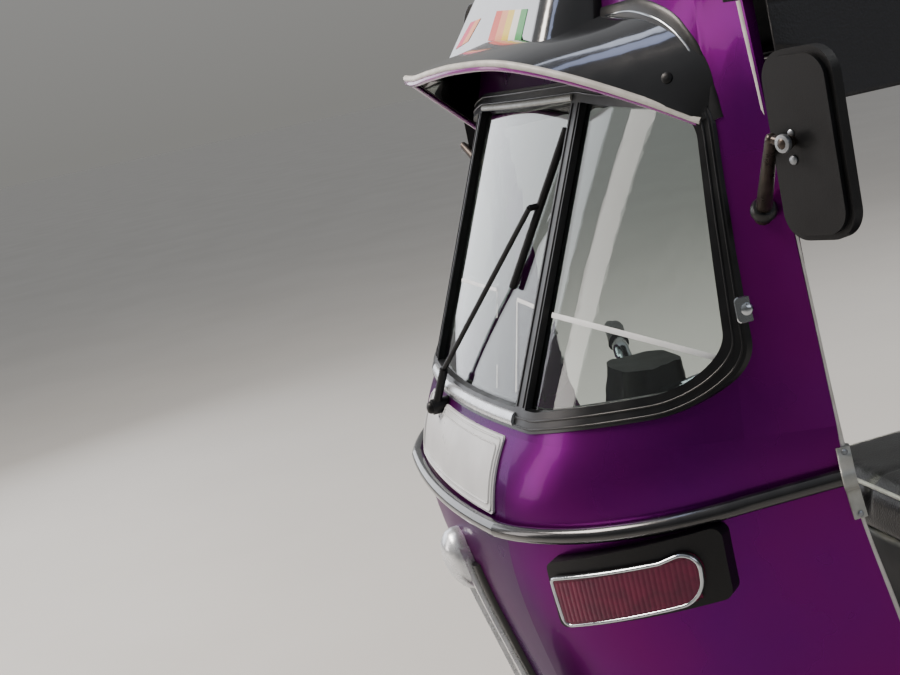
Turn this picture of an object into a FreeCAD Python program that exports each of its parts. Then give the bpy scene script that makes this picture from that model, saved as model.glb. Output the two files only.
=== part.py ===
"""Auto rickshaw: three wheels, sheet steel cowl and tub, canopy on hoops, raked handlebar steering.

Millimetres. +X is the vehicle's left, +Y its rear, +Z up, and the ground is z = 0.
Heights are above the ground. Lengths along the vehicle are measured back from the front axle,
and at() turns them into the part's frame, whose origin is under the middle of its box.
"""
import FreeCAD, Part
import os
from math import cos, pi, radians, sin, tan

V = FreeCAD.Vector
HALF_TURN_SHARE = 0.5 ** 0.5   # sine and cosine of 45 degrees

# Overall sizes
WHEELBASE = 2000.0
FRONT_REACH = 255.0       # headlamp rim ahead of the front axle
REAR_REACH = 370.0        # bumper behind the rear axle
HALF_WIDTH = 650.0        # rear wings
REAR_TRACK = 1150.0
FRONT_AXLE_Y = (FRONT_REACH - WHEELBASE - REAR_REACH) / 2.0
REAR_AXLE = WHEELBASE

# Wheels
TYRE_RADIUS = 205.0
TYRE_WIDTH = 105.0
RIM_RADIUS = 103.0
RIM_WIDTH = 78.0
RIM_SHEET = 4.0
RIM_FLANGE = 8.0          # over the tyre's bead
DISC_OFFSET = 8.0         # of the disc from the rim's middle
DISC_HOLES = 8
DISC_HOLE_RADIUS = 9.0
DISC_HOLE_PITCH = 72.0
DRUM_RADIUS = 62.0
DRUM_WIDTH = 44.0
HUB_RADIUS = 30.0
HUB_REACH = 34.0
AXLE_RADIUS = 12.5
AXLE_CLEARANCE = 0.05

# Sheet and glass
COWL_WALL = 14.0
BODY_WALL = 14.0
GLASS_INSET = 5.0
GLASS = 5.0
FIT = 0.3                 # between a soft or trimmed piece and its seat

# Cowl, half outline of each level seen from above
SILL_Z = 1070.0
HEADER_Z = 1620.0
# z, nose y, face x, face y, turn x, turn y, side x, side y, door x, door y
LOWER_COWL = [
    (300.0, 160.0, 120.0, 170.0, 330.0, 222.0, 448.0, 318.0, 488.0, 385.0),
    (560.0, 67.0, 165.0, 78.0, 345.0, 143.0, 455.0, 270.0, 495.0, 366.0),
    (820.0, 2.0, 205.0, 16.0, 356.0, 92.0, 453.0, 230.0, 501.0, 346.0),
    (960.0, -14.0, 215.0, 2.0, 362.0, 80.0, 457.0, 216.0, 504.0, 316.0),
    (SILL_Z, 22.0, 216.0, 40.0, 372.0, 108.0, 456.0, 222.0, 500.0, 307.0),
]
UPPER_COWL = [
    LOWER_COWL[-1],
    (HEADER_Z, 257.0, 210.0, 268.0, 322.0, 273.0, 409.0, 278.0, 486.0, 282.0),
]
# Lower edge of the cowl seen from the side, y and z
COWL_HEM = [(-120.0, 200.0, 0.0), (-120.0, 505.0, 0.0), (72.0, 492.0, 60.0), (215.0, 420.0, 60.0),
            (290.0, 300.0, 0.0), (290.0, 200.0, 0.0)]

# Windscreen opening seen from the front: x, z, corner radius, and the shares of x and z in its growth
SCREEN_HALF = [
    (250.0, 1088.0, 60.0, 0.0, -1.0),
    (460.0, 1118.0, 62.0, 0.62, -1.0),
    (427.0, 1436.0, 50.0, 0.62, 1.0),
    (212.0, 1462.0, 60.0, 0.0, 1.0),
]
RUBBER = 16.0             # seal inside the opening
RUBBER_LIP = 8.0          # seal over the panel
RUBBER_PROUD = 4.0
MULLION_X = 214.0
MULLION = 26.0

# Floor
FLOOR_TOP = 300.0
FLOOR_SHEET = 18.0
FLOOR_HALF = 505.0
SILL_DEPTH = 62.0
SILL_WIDTH = 40.0
FLOOR_FRONT = 290.0
SEAT_LOW = 690.0           # under the driver's cushion
DRIVER_FRONT = 625.0
DRIVER_REAR = 1010.0
DRIVER_HALF = 300.0
DRIVER_CUSHION = 95.0
PEDESTAL_HALF = 260.0
PEDESTAL_FRONT = 645.0
PEDESTAL_REAR = 1005.0

# Steering
RAKE = 20.0               # degrees from upright
HEAD_Y = 100.0            # column axis at HEAD_Z
HEAD_Z = 500.0
STEM_RADIUS = 16.0
STEM_CLEARANCE = 0.05
HEAD_WALL = 6.0
HEAD_LOW = -12.0          # along the axis from HEAD_Z
HEAD_HIGH = 110.0
HOLE_REACH = 80.0         # of the hole in the cowl's foot, either way from HEAD_Z
CROWN_DROP = 64.0
STEM_TOP = 585.0
LEG_X = -92.0
LEG_Y = 75.0
LEG_LOW = 215.0
LINK = 14.0
BAR_RADIUS = 11.0
BAR_HALF = 330.0
GRIP_RADIUS = 16.0
GRIP_LENGTH = 115.0

# Rear body
TUB_FRONT = 1430.0
TUB_REAR = REAR_AXLE + 345.0
TUB_LOW = 330.0
TUB_TOP = 836.0
ARCH_RADIUS = 246.0
CABIN_HALF = 500.0
SEAT_TOP = 574.0
SEAT_BACK = 1960.0
LID_HALF = 400.0
LID_LOW = 420.0
LID_HIGH = 745.0
LID_GAP = 6.0

# Canopy
CLOTH = 10.0
# y, half width, shoulder z, corner run, corner z, crown z
CANOPY = [
    (262.0, 502.0, 1520.0, 112.0, 1612.0, 1642.0),
    (1080.0, 545.0, 1475.0, 130.0, 1622.0, 1710.0),
    (REAR_AXLE, 582.0, 1465.0, 140.0, 1610.0, 1690.0),
    (2330.0, 586.0, 1440.0, 140.0, 1580.0, 1655.0),
]
SKIRT_Z = 1400.0
CANOPY_LAP_Z = 1520.0      # the cloth laps the cowl above this height
BACK_LOW_Y = REAR_AXLE + 296.0     # slanted back of the canopy, at BACK_LOW_Z and at BACK_HIGH_Z
BACK_HIGH_Y = REAR_AXLE + 120.0
BACK_LOW_Z = 600.0
BACK_HIGH_Z = 1735.0
BACK_ROUND = 190.0
DOOR_REAR_LOW = 1600.0     # rear edge of the door opening, at BACK_LOW_Z and at SKIRT_Z
DOOR_REAR_HIGH = 1540.0
DOOR_ROUND = 90.0
WINDOW_HALF_LOW = 260.0
WINDOW_HALF_HIGH = 240.0
WINDOW_LOW = 1150.0
WINDOW_HIGH = 1380.0
WINDOW_ROUND = 50.0
TUBE = 12.0
HOOP_Y = 1080.0
REAR_HOOP_Y = 1600.0
HOOD_RAIL_Z = 1432.0
HOOD_RAIL_START = (470.0, 302.0)
CROSS_BARS = (780.0, 960.0)


def at(x, y, z):
    """Point whose y is measured back from the front axle."""
    return V(x, FRONT_AXLE_Y + y, z)


def unit(v):
    return v * (1.0 / v.Length)


def box(x0, x1, y0, y1, z0, z1):
    return Part.makeBox(x1 - x0, y1 - y0, z1 - z0, at(x0, y0, z0))


def rod(a, b, radius):
    return Part.makeCylinder(radius, (b - a).Length, a, b - a)


def mirrored(shape):
    """The same shape on the vehicle's other side."""
    return shape.mirror(V(0, 0, 0), V(1, 0, 0))


def both(shape):
    return Part.makeCompound([shape, mirrored(shape)])


def rounded(corners, place):
    """Closed wire through (u, v, radius) corners, put into space by place(u, v)."""
    flat = [V(u, v, 0) for u, v, r in corners]
    ends = []
    for i, (u, v, r) in enumerate(corners):
        p = flat[i]
        if r == 0:
            ends.append((p, None, p))
            continue
        a = unit(flat[i - 1] - p)
        b = unit(flat[(i + 1) % len(flat)] - p)
        half = a.getAngle(b) / 2
        mid = p + unit(a + b) * (r / sin(half) - r)
        ends.append((p + a * (r / tan(half)), mid, p + b * (r / tan(half))))
    edges = []
    for i, (start, mid, end) in enumerate(ends):
        if mid is not None:
            edges.append(Part.Arc(place(start.x, start.y), place(mid.x, mid.y), place(end.x, end.y)).toShape())
        following = ends[(i + 1) % len(ends)][0]
        if (following - end).Length > 1e-4:
            edges.append(Part.makeLine(place(end.x, end.y), place(following.x, following.y)))
    return Part.Wire(edges)


def prism_x(corners, x0, x1):
    return Part.Face(rounded(corners, lambda u, v: at(x0, u, v))).extrude(V(x1 - x0, 0, 0))


def prism_y(corners, y0, y1):
    return Part.Face(rounded(corners, lambda u, v: at(u, y0, v))).extrude(V(0, y1 - y0, 0))


def prism_z(corners, z0, z1):
    return Part.Face(rounded(corners, lambda u, v: at(u, v, z0))).extrude(V(0, 0, z1 - z0))


def inset(corners, d):
    """The outline moved inwards by d, for corners listed counter-clockwise."""
    n = len(corners)
    flat = [V(u, v, 0) for u, v, r in corners]
    out = []
    for i, (u, v, r) in enumerate(corners):
        p = flat[i]
        before = unit(p - flat[i - 1])
        after = unit(flat[(i + 1) % n] - p)
        n1 = V(-before.y, before.x, 0)
        n2 = V(-after.y, after.x, 0)
        q = p + unit(n1 + n2) * (d / cos(n1.getAngle(n2) / 2))
        out.append((q.x, q.y, max(r - d, 1.0) if r else 0))
    return out


def path(points, bend):
    """Open wire of straight runs joined by tangent arcs of radius bend."""
    edges = []
    start = points[0]
    for i in range(1, len(points) - 1):
        p = points[i]
        a = unit(points[i - 1] - p)
        b = unit(points[i + 1] - p)
        half = a.getAngle(b) / 2
        cut = bend / tan(half)
        mid = p + unit(a + b) * (bend / sin(half) - bend)
        edges.append(Part.makeLine(start, p + a * cut))
        edges.append(Part.Arc(p + a * cut, mid, p + b * cut).toShape())
        start = p + b * cut
    edges.append(Part.makeLine(start, points[-1]))
    return Part.Wire(edges)


def pipe(wire, radius):
    """Round bar along a wire."""
    first = wire.OrderedEdges[0]
    start = first.valueAt(first.FirstParameter)
    if first.Orientation == "Reversed":
        start = first.valueAt(first.LastParameter)
    ring = Part.Wire([Part.makeCircle(radius, start, first.tangentAt(first.FirstParameter))])
    return wire.makePipeShell([ring], True, False)


def revolve_x(corners, x_axis_y, x_axis_z):
    """Solid turned about a line along X: corners are (x, radius, corner radius)."""
    profile = Part.Face(rounded(corners, lambda u, v: at(u, x_axis_y, x_axis_z + v)))
    return profile.revolve(at(0, x_axis_y, x_axis_z), V(1, 0, 0), 360)


# Cowl surfaces
def cowl_half(level, out):
    """Five points of a level's half outline, moved outwards by out."""
    z, yn, xf, yf, xt, yt, xs, ys, xd, yd = level
    pts = [V(0, yn, 0), V(xf, yf, 0), V(xt, yt, 0), V(xs, ys, 0), V(xd, yd, 0)]
    chords = [unit(pts[i + 1] - pts[i]) for i in range(4)]
    normals = [V(c.y, -c.x, 0) for c in chords]
    outward = [V(0, -1, 0)]
    for i in range(3):
        outward.append(unit(normals[i] + normals[i + 1]))
    outward.append(normals[3])
    return [at(p.x + n.x * out, p.y + n.y * out, z) for p, n in zip(pts, outward)]


def cowl_curve(level, out):
    """Edges of a level's outline from the left door edge round the nose to the right one."""
    nose, face, turn, side, door = cowl_half(level, out)
    flip = [V(-p.x, p.y, p.z) for p in (nose, face, turn, side, door)]
    return [Part.makeLine(door, side), Part.Arc(side, turn, face).toShape(), Part.Arc(face, nose, flip[1]).toShape(),
            Part.Arc(flip[1], flip[2], flip[3]).toShape(), Part.makeLine(flip[3], flip[4])]


def cowl_band(levels, outer, inner, ruled):
    """Wall between two distances from the cowl's outer surface."""
    wires = []
    for level in levels:
        a = cowl_curve(level, outer)
        b = cowl_curve(level, inner)
        left_a, left_b = cowl_half(level, outer)[4], cowl_half(level, inner)[4]
        right_a, right_b = V(-left_a.x, left_a.y, left_a.z), V(-left_b.x, left_b.y, left_b.z)
        edges = a + [Part.makeLine(right_a, right_b)] + b[::-1] + [Part.makeLine(left_b, left_a)]
        wires.append(Part.Wire(Part.__sortEdges__(edges)))
    return Part.makeLoft(wires, True, ruled)


def cowl_fill(levels, out, ruled):
    """Everything inside the cowl's surface moved outwards by out, up to the door edges."""
    wires = []
    for level in levels:
        left = cowl_half(level, out)[4]
        back = V(left.x, left.y + 3 * COWL_WALL, left.z)
        right, back_right = V(-left.x, left.y, left.z), V(-back.x, back.y, back.z)
        edges = cowl_curve(level, out) + [Part.makeLine(right, back_right), Part.makeLine(back_right, back),
                                          Part.makeLine(back, left)]
        wires.append(Part.Wire(Part.__sortEdges__(edges)))
    return Part.makeLoft(wires, True, ruled)


def lower_band(outer, inner):
    return cowl_band(LOWER_COWL, outer, inner, False)


def upper_band(outer, inner):
    return cowl_band(UPPER_COWL, outer, inner, True)


def screen_outline(grow):
    """Opening grown by a distance over the panel: the sides slope away, so x grows by less."""
    left = [(x + gx * grow, z + gz * grow, r + grow / 2) for x, z, r, gx, gz in SCREEN_HALF]
    return left + [(-x, z, r) for x, z, r in left[::-1]]


def screen_prism(grow):
    return prism_y(screen_outline(grow), -200, 500)


def header_arch():
    """Tall prism that the cowl's top stays in, so that the canopy's front laps over it."""
    row = CANOPY[0]
    outline = Part.Face(canopy_wire((-300.0,) + row[1:], CLOTH + FIT, 150))
    return outline.extrude(V(0, 900, 0)).fuse(box(-HALF_WIDTH, HALF_WIDTH, -300, 600, 150, CANOPY_LAP_Z))


def steering_hole():
    """Room for the steering head where it passes the cowl's foot."""
    return rod(axis_point(-HOLE_REACH), axis_point(HOLE_REACH), STEM_RADIUS + HEAD_WALL + FIT)


def make_cowl():
    shell = lower_band(0, -COWL_WALL).fuse(upper_band(0, -COWL_WALL)).removeSplitter()
    shell = shell.common(header_arch())
    shell = shell.cut(prism_x(COWL_HEM, -HALF_WIDTH, HALF_WIDTH)).cut(steering_hole())
    return shell.cut(screen_prism(0))


def make_rubber():
    """Seal of the three panes with the two uprights between them."""
    lip = upper_band(RUBBER_PROUD, 0).common(screen_prism(RUBBER_LIP).cut(screen_prism(-RUBBER)))
    body = upper_band(0, -COWL_WALL).common(screen_prism(0).cut(screen_prism(-RUBBER)))
    seal = lip.fuse(body)
    uprights = upper_band(RUBBER_PROUD, -COWL_WALL).common(screen_prism(-RUBBER))
    for side in (1, -1):
        x = side * MULLION_X
        seal = seal.fuse(uprights.common(box(x - MULLION / 2, x + MULLION / 2, -200, 500, 1000, 1600)))
    return seal.removeSplitter()


def make_panes():
    pane = upper_band(-GLASS_INSET, -GLASS_INSET - GLASS).common(screen_prism(-RUBBER))
    inner = MULLION_X - MULLION / 2
    outer = MULLION_X + MULLION / 2
    centre = pane.common(box(-inner, inner, -200, 500, 1000, 1600))
    side = pane.common(box(outer, 600, -200, 500, 1000, 1600))
    return centre, both(side)


# Visor, in radial sections about a line along Y at VISOR_CENTRE_Z
VISOR_SHEET = 6.0
VISOR_CENTRE_Z = 1300.0
VISOR_BASE_Y = 285.0
# degrees from upright, radius at the cowl, radius at the lip, lip y
VISOR_HALF = [
    (76.0, 459.0, 440.0, 248.0),
    (70.0, 478.0, 408.0, 205.0),
    (60.0, 446.0, 359.0, 150.0),
    (48.0, 364.0, 310.0, 105.0),
    (34.0, 305.0, 260.0, 77.0),
    (17.0, 273.0, 225.0, 61.0),
]
VISOR_CROWN = (0.0, 266.0, 213.0, 57.0)
HUMP_HALF = 244.0
HUMP_TOP_HALF = 198.0
HUMP_FOOT_Y = 152.0
HUMP_TOP_Y = 205.0
HUMP_TOP = 1606.0
HUMP_FOOT_Z = 1520.0


def make_visor():
    rows = VISOR_HALF + [VISOR_CROWN] + [(-a, base, lip, y) for a, base, lip, y in VISOR_HALF[::-1]]
    skins = []
    for top, low in ((0.0, VISOR_SHEET), (-VISOR_SHEET, 120.0)):
        wires = []
        for angle, base, lip, y in rows:
            out = V(sin(radians(angle)), 0, cos(radians(angle)))
            back = at(0, VISOR_BASE_Y, VISOR_CENTRE_Z)
            front = at(0, y, VISOR_CENTRE_Z)
            corners = [back + out * (base + top), front + out * (lip + top), front + out * (lip - low),
                       back + out * (base - low)]
            wires.append(Part.makePolygon(corners + corners[:1]))
        skins.append(Part.makeLoft(wires, True, False))
    sheet, under = skins
    hump = Part.makeLoft([
        Part.Wire(rounded([(-HUMP_HALF, HUMP_FOOT_Y, 40), (HUMP_HALF, HUMP_FOOT_Y, 40),
                           (HUMP_HALF, VISOR_BASE_Y, 10), (-HUMP_HALF, VISOR_BASE_Y, 10)],
                          lambda u, v: at(u, v, HUMP_FOOT_Z))),
        Part.Wire(rounded([(-HUMP_TOP_HALF, HUMP_TOP_Y, 40), (HUMP_TOP_HALF, HUMP_TOP_Y, 40),
                           (HUMP_TOP_HALF, VISOR_BASE_Y, 10), (-HUMP_TOP_HALF, VISOR_BASE_Y, 10)],
                          lambda u, v: at(u, v, HUMP_TOP)))], True, True)
    visor = sheet.fuse(hump.cut(under)).cut(cowl_fill(UPPER_COWL, FIT, True))
    return visor.cut(cowl_fill(UPPER_COWL, RUBBER_PROUD + FIT, True).common(screen_prism(RUBBER_LIP + 1)))


# Nose trim
SPINE_TOP = 905.0
SPINE_LOW = 494.0
SPINE_PROUD = 10.0
STRIP = 8.0               # width of the bright strip
STRIP_PROUD = 4.0         # over the rib
SPINE = [(-64.0, SPINE_LOW, 0), (64.0, SPINE_LOW, 0), (36.0, SPINE_TOP, 30.0), (-36.0, SPINE_TOP, 30.0)]


def make_spine():
    """Black rib down the nose and the bright strip round its edge."""
    outer = prism_y(SPINE, -300, 400)
    inner = prism_y(inset(SPINE, STRIP), -300, 400)
    rib = lower_band(SPINE_PROUD, FIT).common(inner)
    strip = lower_band(SPINE_PROUD + STRIP_PROUD, FIT).common(outer.cut(inner))
    below = prism_x(COWL_HEM, -HALF_WIDTH, HALF_WIDTH).fuse(steering_hole())
    return rib.cut(below), strip.cut(below)


# Rail round the nose
RAIL_RADIUS = 9.5
RAIL_FRONT_Z = 965.0
RAIL_RISE = 0.16
RAIL_OUT = RAIL_RADIUS + FIT + 1.0


def make_rail():
    """Round bar that follows the cowl, rising towards the doors."""
    level = LOWER_COWL[3]
    nose, face, turn, side, door = cowl_half(level, RAIL_OUT)
    def tilt(p):
        return V(p.x, p.y, RAIL_FRONT_Z + (p.y - nose.y) * RAIL_RISE)
    pts = [tilt(p) for p in (nose, face, turn, side, door)]
    flip = [V(-p.x, p.y, p.z) for p in pts]
    nose, face, turn, side, door = pts
    wire = Part.Wire([Part.makeLine(door, side), Part.Arc(side, turn, face).toShape(),
                      Part.Arc(face, nose, flip[1]).toShape(), Part.Arc(flip[1], flip[2], flip[3]).toShape(),
                      Part.makeLine(flip[3], flip[4])])
    bar = pipe(wire, RAIL_RADIUS)
    return bar.cut(cowl_fill(LOWER_COWL, FIT, False))


# Front plate
PLATE_HALF = 185.0
PLATE_LOW = RAIL_FRONT_Z + RAIL_RADIUS + 1.5
PLATE_HIGH = SILL_Z - 2.0
PLATE = 3.0


def make_front_plate():
    """Plate bent round the nose, notched for the wiper's pivot."""
    plate = lower_band(PLATE + FIT, FIT).common(
        prism_y([(-PLATE_HALF, PLATE_LOW, 6), (PLATE_HALF, PLATE_LOW, 6), (PLATE_HALF, PLATE_HIGH, 6),
                 (-PLATE_HALF, PLATE_HIGH, 6)], -300, 400))
    x, z = WIPER_PIVOT
    return plate.cut(rod(at(x, -300, z), at(x, 300, z), PIVOT_RADIUS + 2))


# Side lamps, in a plane that stands on the cowl's corner: u runs back along it, n outwards
LAMP_START = (294.0, 35.0)
LAMP_TURN = 45.6
LAMP_RISE = 0.19
LAMP_LENGTH = 218.0
LAMP_LOW = 862.0
LAMP_HIGH = 945.0
LAMP_DEPTH = 22.0
LENS_PROUD = 7.0
# u, height above LAMP_LOW at that u, and corner radius
LENS = [(10.0, 4.0, 12.0), (192.0, 7.0, 28.0), (195.0, 70.0, 22.0), (150.0, 62.0, 20.0), (6.0, 66.0, 4.0)]


def lamp_prism(corners, reach):
    """Prism across the cowl's corner through (u, height, radius) corners that rise with u."""
    turn = radians(LAMP_TURN)
    along = V(cos(turn), sin(turn), LAMP_RISE)
    out = V(sin(turn), -cos(turn), 0)
    base = at(LAMP_START[0], LAMP_START[1], LAMP_LOW) - out * reach
    outline = rounded(corners, lambda u, v: base + along * u + V(0, 0, v))
    return Part.Face(outline).extrude(out * (2 * reach))


def make_lamps():
    high = LAMP_HIGH - LAMP_LOW
    block = lamp_prism([(0, 0, 10), (LAMP_LENGTH, 0, 10), (LAMP_LENGTH, high, 14), (0, high, 8)], 120)
    housing = lower_band(LAMP_DEPTH, FIT).common(block)
    lens = lower_band(LAMP_DEPTH + LENS_PROUD, LAMP_DEPTH + FIT).common(lamp_prism(LENS, 120))
    return both(housing), both(lens)


# Floor, toe board and steering head
def axis_point(s):
    """Point s along the steering axis above the head."""
    rake = radians(RAKE)
    return at(0, HEAD_Y + s * sin(rake), HEAD_Z + s * cos(rake))


TOE = [(FLOOR_FRONT, FLOOR_TOP - FLOOR_SHEET, 0), (FLOOR_FRONT + 30, FLOOR_TOP - FLOOR_SHEET, 0),
       (FLOOR_FRONT + 30, FLOOR_TOP, 0), (110, 502, 0), (90, 490, 0)]


def make_floor():
    """Floor with sills, toe board inside the cowl, and the tube that the steering stem turns in."""
    floor = box(-FLOOR_HALF, FLOOR_HALF, FLOOR_FRONT, TUB_FRONT, FLOOR_TOP - FLOOR_SHEET, FLOOR_TOP)
    for side in (1, -1):
        inner, outer = sorted((side * (FLOOR_HALF - SILL_WIDTH), side * FLOOR_HALF))
        floor = floor.fuse(box(inner, outer, FLOOR_FRONT, TUB_FRONT, FLOOR_TOP - SILL_DEPTH, FLOOR_TOP))
    toe = prism_x(TOE, -FLOOR_HALF, FLOOR_HALF).common(cowl_fill(LOWER_COWL, -COWL_WALL - FIT, False))
    head = rod(axis_point(HEAD_LOW), axis_point(HEAD_HIGH), STEM_RADIUS + HEAD_WALL)
    gusset = prism_x([(122, 470, 0), (235, 360, 0), (240, 420, 0), (150, 560, 0), (118, 520, 0)], -5, 5)
    pan = floor.fuse(toe).fuse(head).fuse(gusset)
    bore = rod(axis_point(HEAD_LOW - 200), axis_point(HEAD_HIGH + 100), STEM_RADIUS + STEM_CLEARANCE)
    pan = pan.cut(bore)
    crossbar = box(-FLOOR_HALF, FLOOR_HALF, TUB_FRONT, TUB_FRONT + 60, FLOOR_TOP - SILL_DEPTH, FLOOR_TOP)
    pedestal = prism_x([(PEDESTAL_FRONT, FLOOR_TOP - 1, 0), (PEDESTAL_REAR, FLOOR_TOP - 1, 0),
                        (PEDESTAL_REAR, SEAT_LOW - FIT, 10), (PEDESTAL_FRONT, SEAT_LOW - FIT, 10)],
                       -PEDESTAL_HALF, PEDESTAL_HALF)
    return pan.fuse(crossbar).fuse(pedestal).removeSplitter()


# Steered pieces
def make_fork():
    """Stem, bent leg on the right of the wheel, and its lower eye."""
    top = axis_point(STEM_TOP)
    crown = axis_point(-CROWN_DROP)
    knee = at(LEG_X, LEG_Y - 3, crown.z - 38)
    foot = at(LEG_X, LEG_Y, LEG_LOW)
    stem = pipe(path([top, crown, knee, foot], 30), STEM_RADIUS)
    eye = rod(at(LEG_X - STEM_RADIUS, LEG_Y, LEG_LOW), at(LEG_X + STEM_RADIUS, LEG_Y, LEG_LOW), 24)
    return stem.fuse(eye).cut(make_bar())


def make_link():
    """Swinging link beside the wheel with the stub axle."""
    x0 = LEG_X + STEM_RADIUS
    plate = Part.Face(rounded([(-26, TYRE_RADIUS - 24, 23), (LEG_Y + 24, LEG_LOW - 23, 22),
                               (LEG_Y + 24, LEG_LOW + 23, 22), (-26, TYRE_RADIUS + 24, 23)],
                              lambda u, v: at(x0, u, v))).extrude(V(LINK, 0, 0))
    axle = rod(at(x0 + LINK, 0, TYRE_RADIUS), at(44, 0, TYRE_RADIUS), AXLE_RADIUS)
    return plate.fuse(axle)


def make_bar():
    """Handlebar with its clamp on the stem."""
    top = axis_point(STEM_TOP - 20)
    points = [V(BAR_HALF, top.y + 75, top.z + 22), V(150, top.y + 20, top.z + 30), V(60, top.y, top.z),
              V(-60, top.y, top.z), V(-150, top.y + 20, top.z + 30), V(-BAR_HALF, top.y + 75, top.z + 22)]
    return pipe(path(points, 45), BAR_RADIUS)


def make_grips():
    top = axis_point(STEM_TOP - 20)
    inner = V(150, top.y + 20, top.z + 30)
    outer = V(BAR_HALF, top.y + 75, top.z + 22)
    along = unit(outer - inner)
    start = outer - along * (GRIP_LENGTH - 6)
    grip = rod(start, outer + along * 6, GRIP_RADIUS).cut(rod(start - along, outer, BAR_RADIUS + 0.02))
    return both(grip)


def make_nacelle():
    """Head over the handlebar's middle with the round instrument."""
    top = axis_point(STEM_TOP - 20)
    y = top.y - FRONT_AXLE_Y
    body = Part.makeLoft([
        rounded([(-70, y - 62, 30), (70, y - 62, 30), (58, y + 44, 25), (-58, y + 44, 25)],
                lambda u, v: at(u, v, top.z - 46)),
        rounded([(-58, y - 46, 30), (58, y - 46, 30), (48, y + 40, 25), (-48, y + 40, 25)],
                lambda u, v: at(u, v, top.z + 40))], True, True)
    body = body.cut(make_bar()).cut(rod(axis_point(0), axis_point(STEM_TOP), STEM_RADIUS))
    return body


# Mudguard sections: y, half width, low z, shoulder z, top z
MUDGUARD = [
    (-245.0, 42.0, 330.0, 338.0, 352.0),
    (-180.0, 96.0, 342.0, 396.0, 446.0),
    (-50.0, 121.0, 352.0, 440.0, 508.0),
    (75.0, 121.0, 348.0, 420.0, 472.0),
    (185.0, 92.0, 318.0, 330.0, 350.0),
]
MUDGUARD_SHEET = 4.0


def mudguard_solid(d):
    """Solid under the guard's skin, moved inwards by d and open below when d is set."""
    wires = []
    for i, (y, w, low, shoulder, top) in enumerate(MUDGUARD):
        if i == 0:
            y = y + d
        if i == len(MUDGUARD) - 1:
            y = y - d
        w = w - d
        low = low - (20 if d else 0)
        shoulder = shoulder - d
        top = top - d
        edges = [Part.makeLine(at(-w, y, low), at(w, y, low)), Part.makeLine(at(w, y, low), at(w, y, shoulder)),
                 Part.Arc(at(w, y, shoulder), at(0, y, top), at(-w, y, shoulder)).toShape(),
                 Part.makeLine(at(-w, y, shoulder), at(-w, y, low))]
        wires.append(Part.Wire(edges))
    return Part.makeLoft(wires, True, False)


def make_mudguard():
    shell = mudguard_solid(0).cut(mudguard_solid(MUDGUARD_SHEET))
    return shell.cut(rod(axis_point(-150), axis_point(60), STEM_RADIUS + FIT))


# Headlamp
LAMP_RADIUS = 78.0
LAMP_TILT = 10.0
LAMP_Z = 508.0
LAMP_BACK = 175.0


def headlamp_turned(profile):
    """Solid turned about the lamp's axis: profile is (distance behind the rim, radius, corner radius)."""
    tilt = radians(LAMP_TILT)
    centre_y = -FRONT_REACH + LAMP_RADIUS * sin(tilt)
    back = V(0, cos(tilt), sin(tilt))
    up = V(0, -sin(tilt), cos(tilt))
    base = at(0, centre_y, LAMP_Z)
    def place(u, v):
        return base + back * u + up * v
    return Part.Face(rounded(profile, place)).revolve(base, back, 360)


def make_headlamp():
    bucket = headlamp_turned([(0, LAMP_RADIUS - 8, 0), (0, LAMP_RADIUS, 2), (70, LAMP_RADIUS - 3, 30),
                              (LAMP_BACK, 42, 20), (LAMP_BACK, 0, 0), (20, 0, 0), (20, LAMP_RADIUS - 8, 0)])
    bucket = bucket.cut(mudguard_solid(0))
    lens = headlamp_turned([(-2, 0, 0), (3, LAMP_RADIUS - 9, 0), (19, LAMP_RADIUS - 9, 0), (19.7, 0, 0)])
    return bucket, lens


# Wheels
def make_tyre(x, y):
    half = TYRE_WIDTH / 2
    bead = RIM_WIDTH / 2 - RIM_SHEET - FIT
    profile = [(x - bead, RIM_RADIUS + FIT, 0), (x + bead, RIM_RADIUS + FIT, 0), (x + bead, RIM_RADIUS + 9, 0),
               (x + half, RIM_RADIUS + 30, 22), (x + half, TYRE_RADIUS - 26, 22), (x + half - 22, TYRE_RADIUS, 18),
               (x - half + 22, TYRE_RADIUS, 18), (x - half, TYRE_RADIUS - 26, 22), (x - half, RIM_RADIUS + 30, 22),
               (x - bead, RIM_RADIUS + 9, 0)]
    return revolve_x(profile, y, TYRE_RADIUS)


def make_wheel(x, y, side):
    """Pressed rim and disc with its drum and hub; side is the way the disc faces."""
    half = RIM_WIDTH / 2
    flange = RIM_RADIUS + RIM_FLANGE
    inner = RIM_RADIUS - RIM_SHEET
    rim = revolve_x([(x - half, inner, 0), (x + half, inner, 0), (x + half, flange, 0),
                     (x + half - RIM_SHEET, flange, 0), (x + half - RIM_SHEET, RIM_RADIUS, 0),
                     (x - half + RIM_SHEET, RIM_RADIUS, 0), (x - half + RIM_SHEET, flange, 0),
                     (x - half, flange, 0)], y, TYRE_RADIUS)
    disc_x = x + side * DISC_OFFSET
    disc = rod(at(disc_x - 3, y, TYRE_RADIUS), at(disc_x + 3, y, TYRE_RADIUS), inner)
    for i in range(DISC_HOLES):
        turn = 2 * pi * i / DISC_HOLES
        centre = at(disc_x - 10, y + DISC_HOLE_PITCH * cos(turn), TYRE_RADIUS + DISC_HOLE_PITCH * sin(turn))
        disc = disc.cut(Part.makeCylinder(DISC_HOLE_RADIUS, 20, centre, V(1, 0, 0)))
    drum = rod(at(disc_x, y, TYRE_RADIUS), at(disc_x - side * DRUM_WIDTH, y, TYRE_RADIUS), DRUM_RADIUS)
    hub = rod(at(disc_x, y, TYRE_RADIUS), at(disc_x + side * HUB_REACH, y, TYRE_RADIUS), HUB_RADIUS)
    wheel = rim.fuse(disc).fuse(drum).fuse(hub)
    return wheel.cut(rod(at(x - 100, y, TYRE_RADIUS), at(x + 100, y, TYRE_RADIUS), AXLE_RADIUS + AXLE_CLEARANCE))


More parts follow.
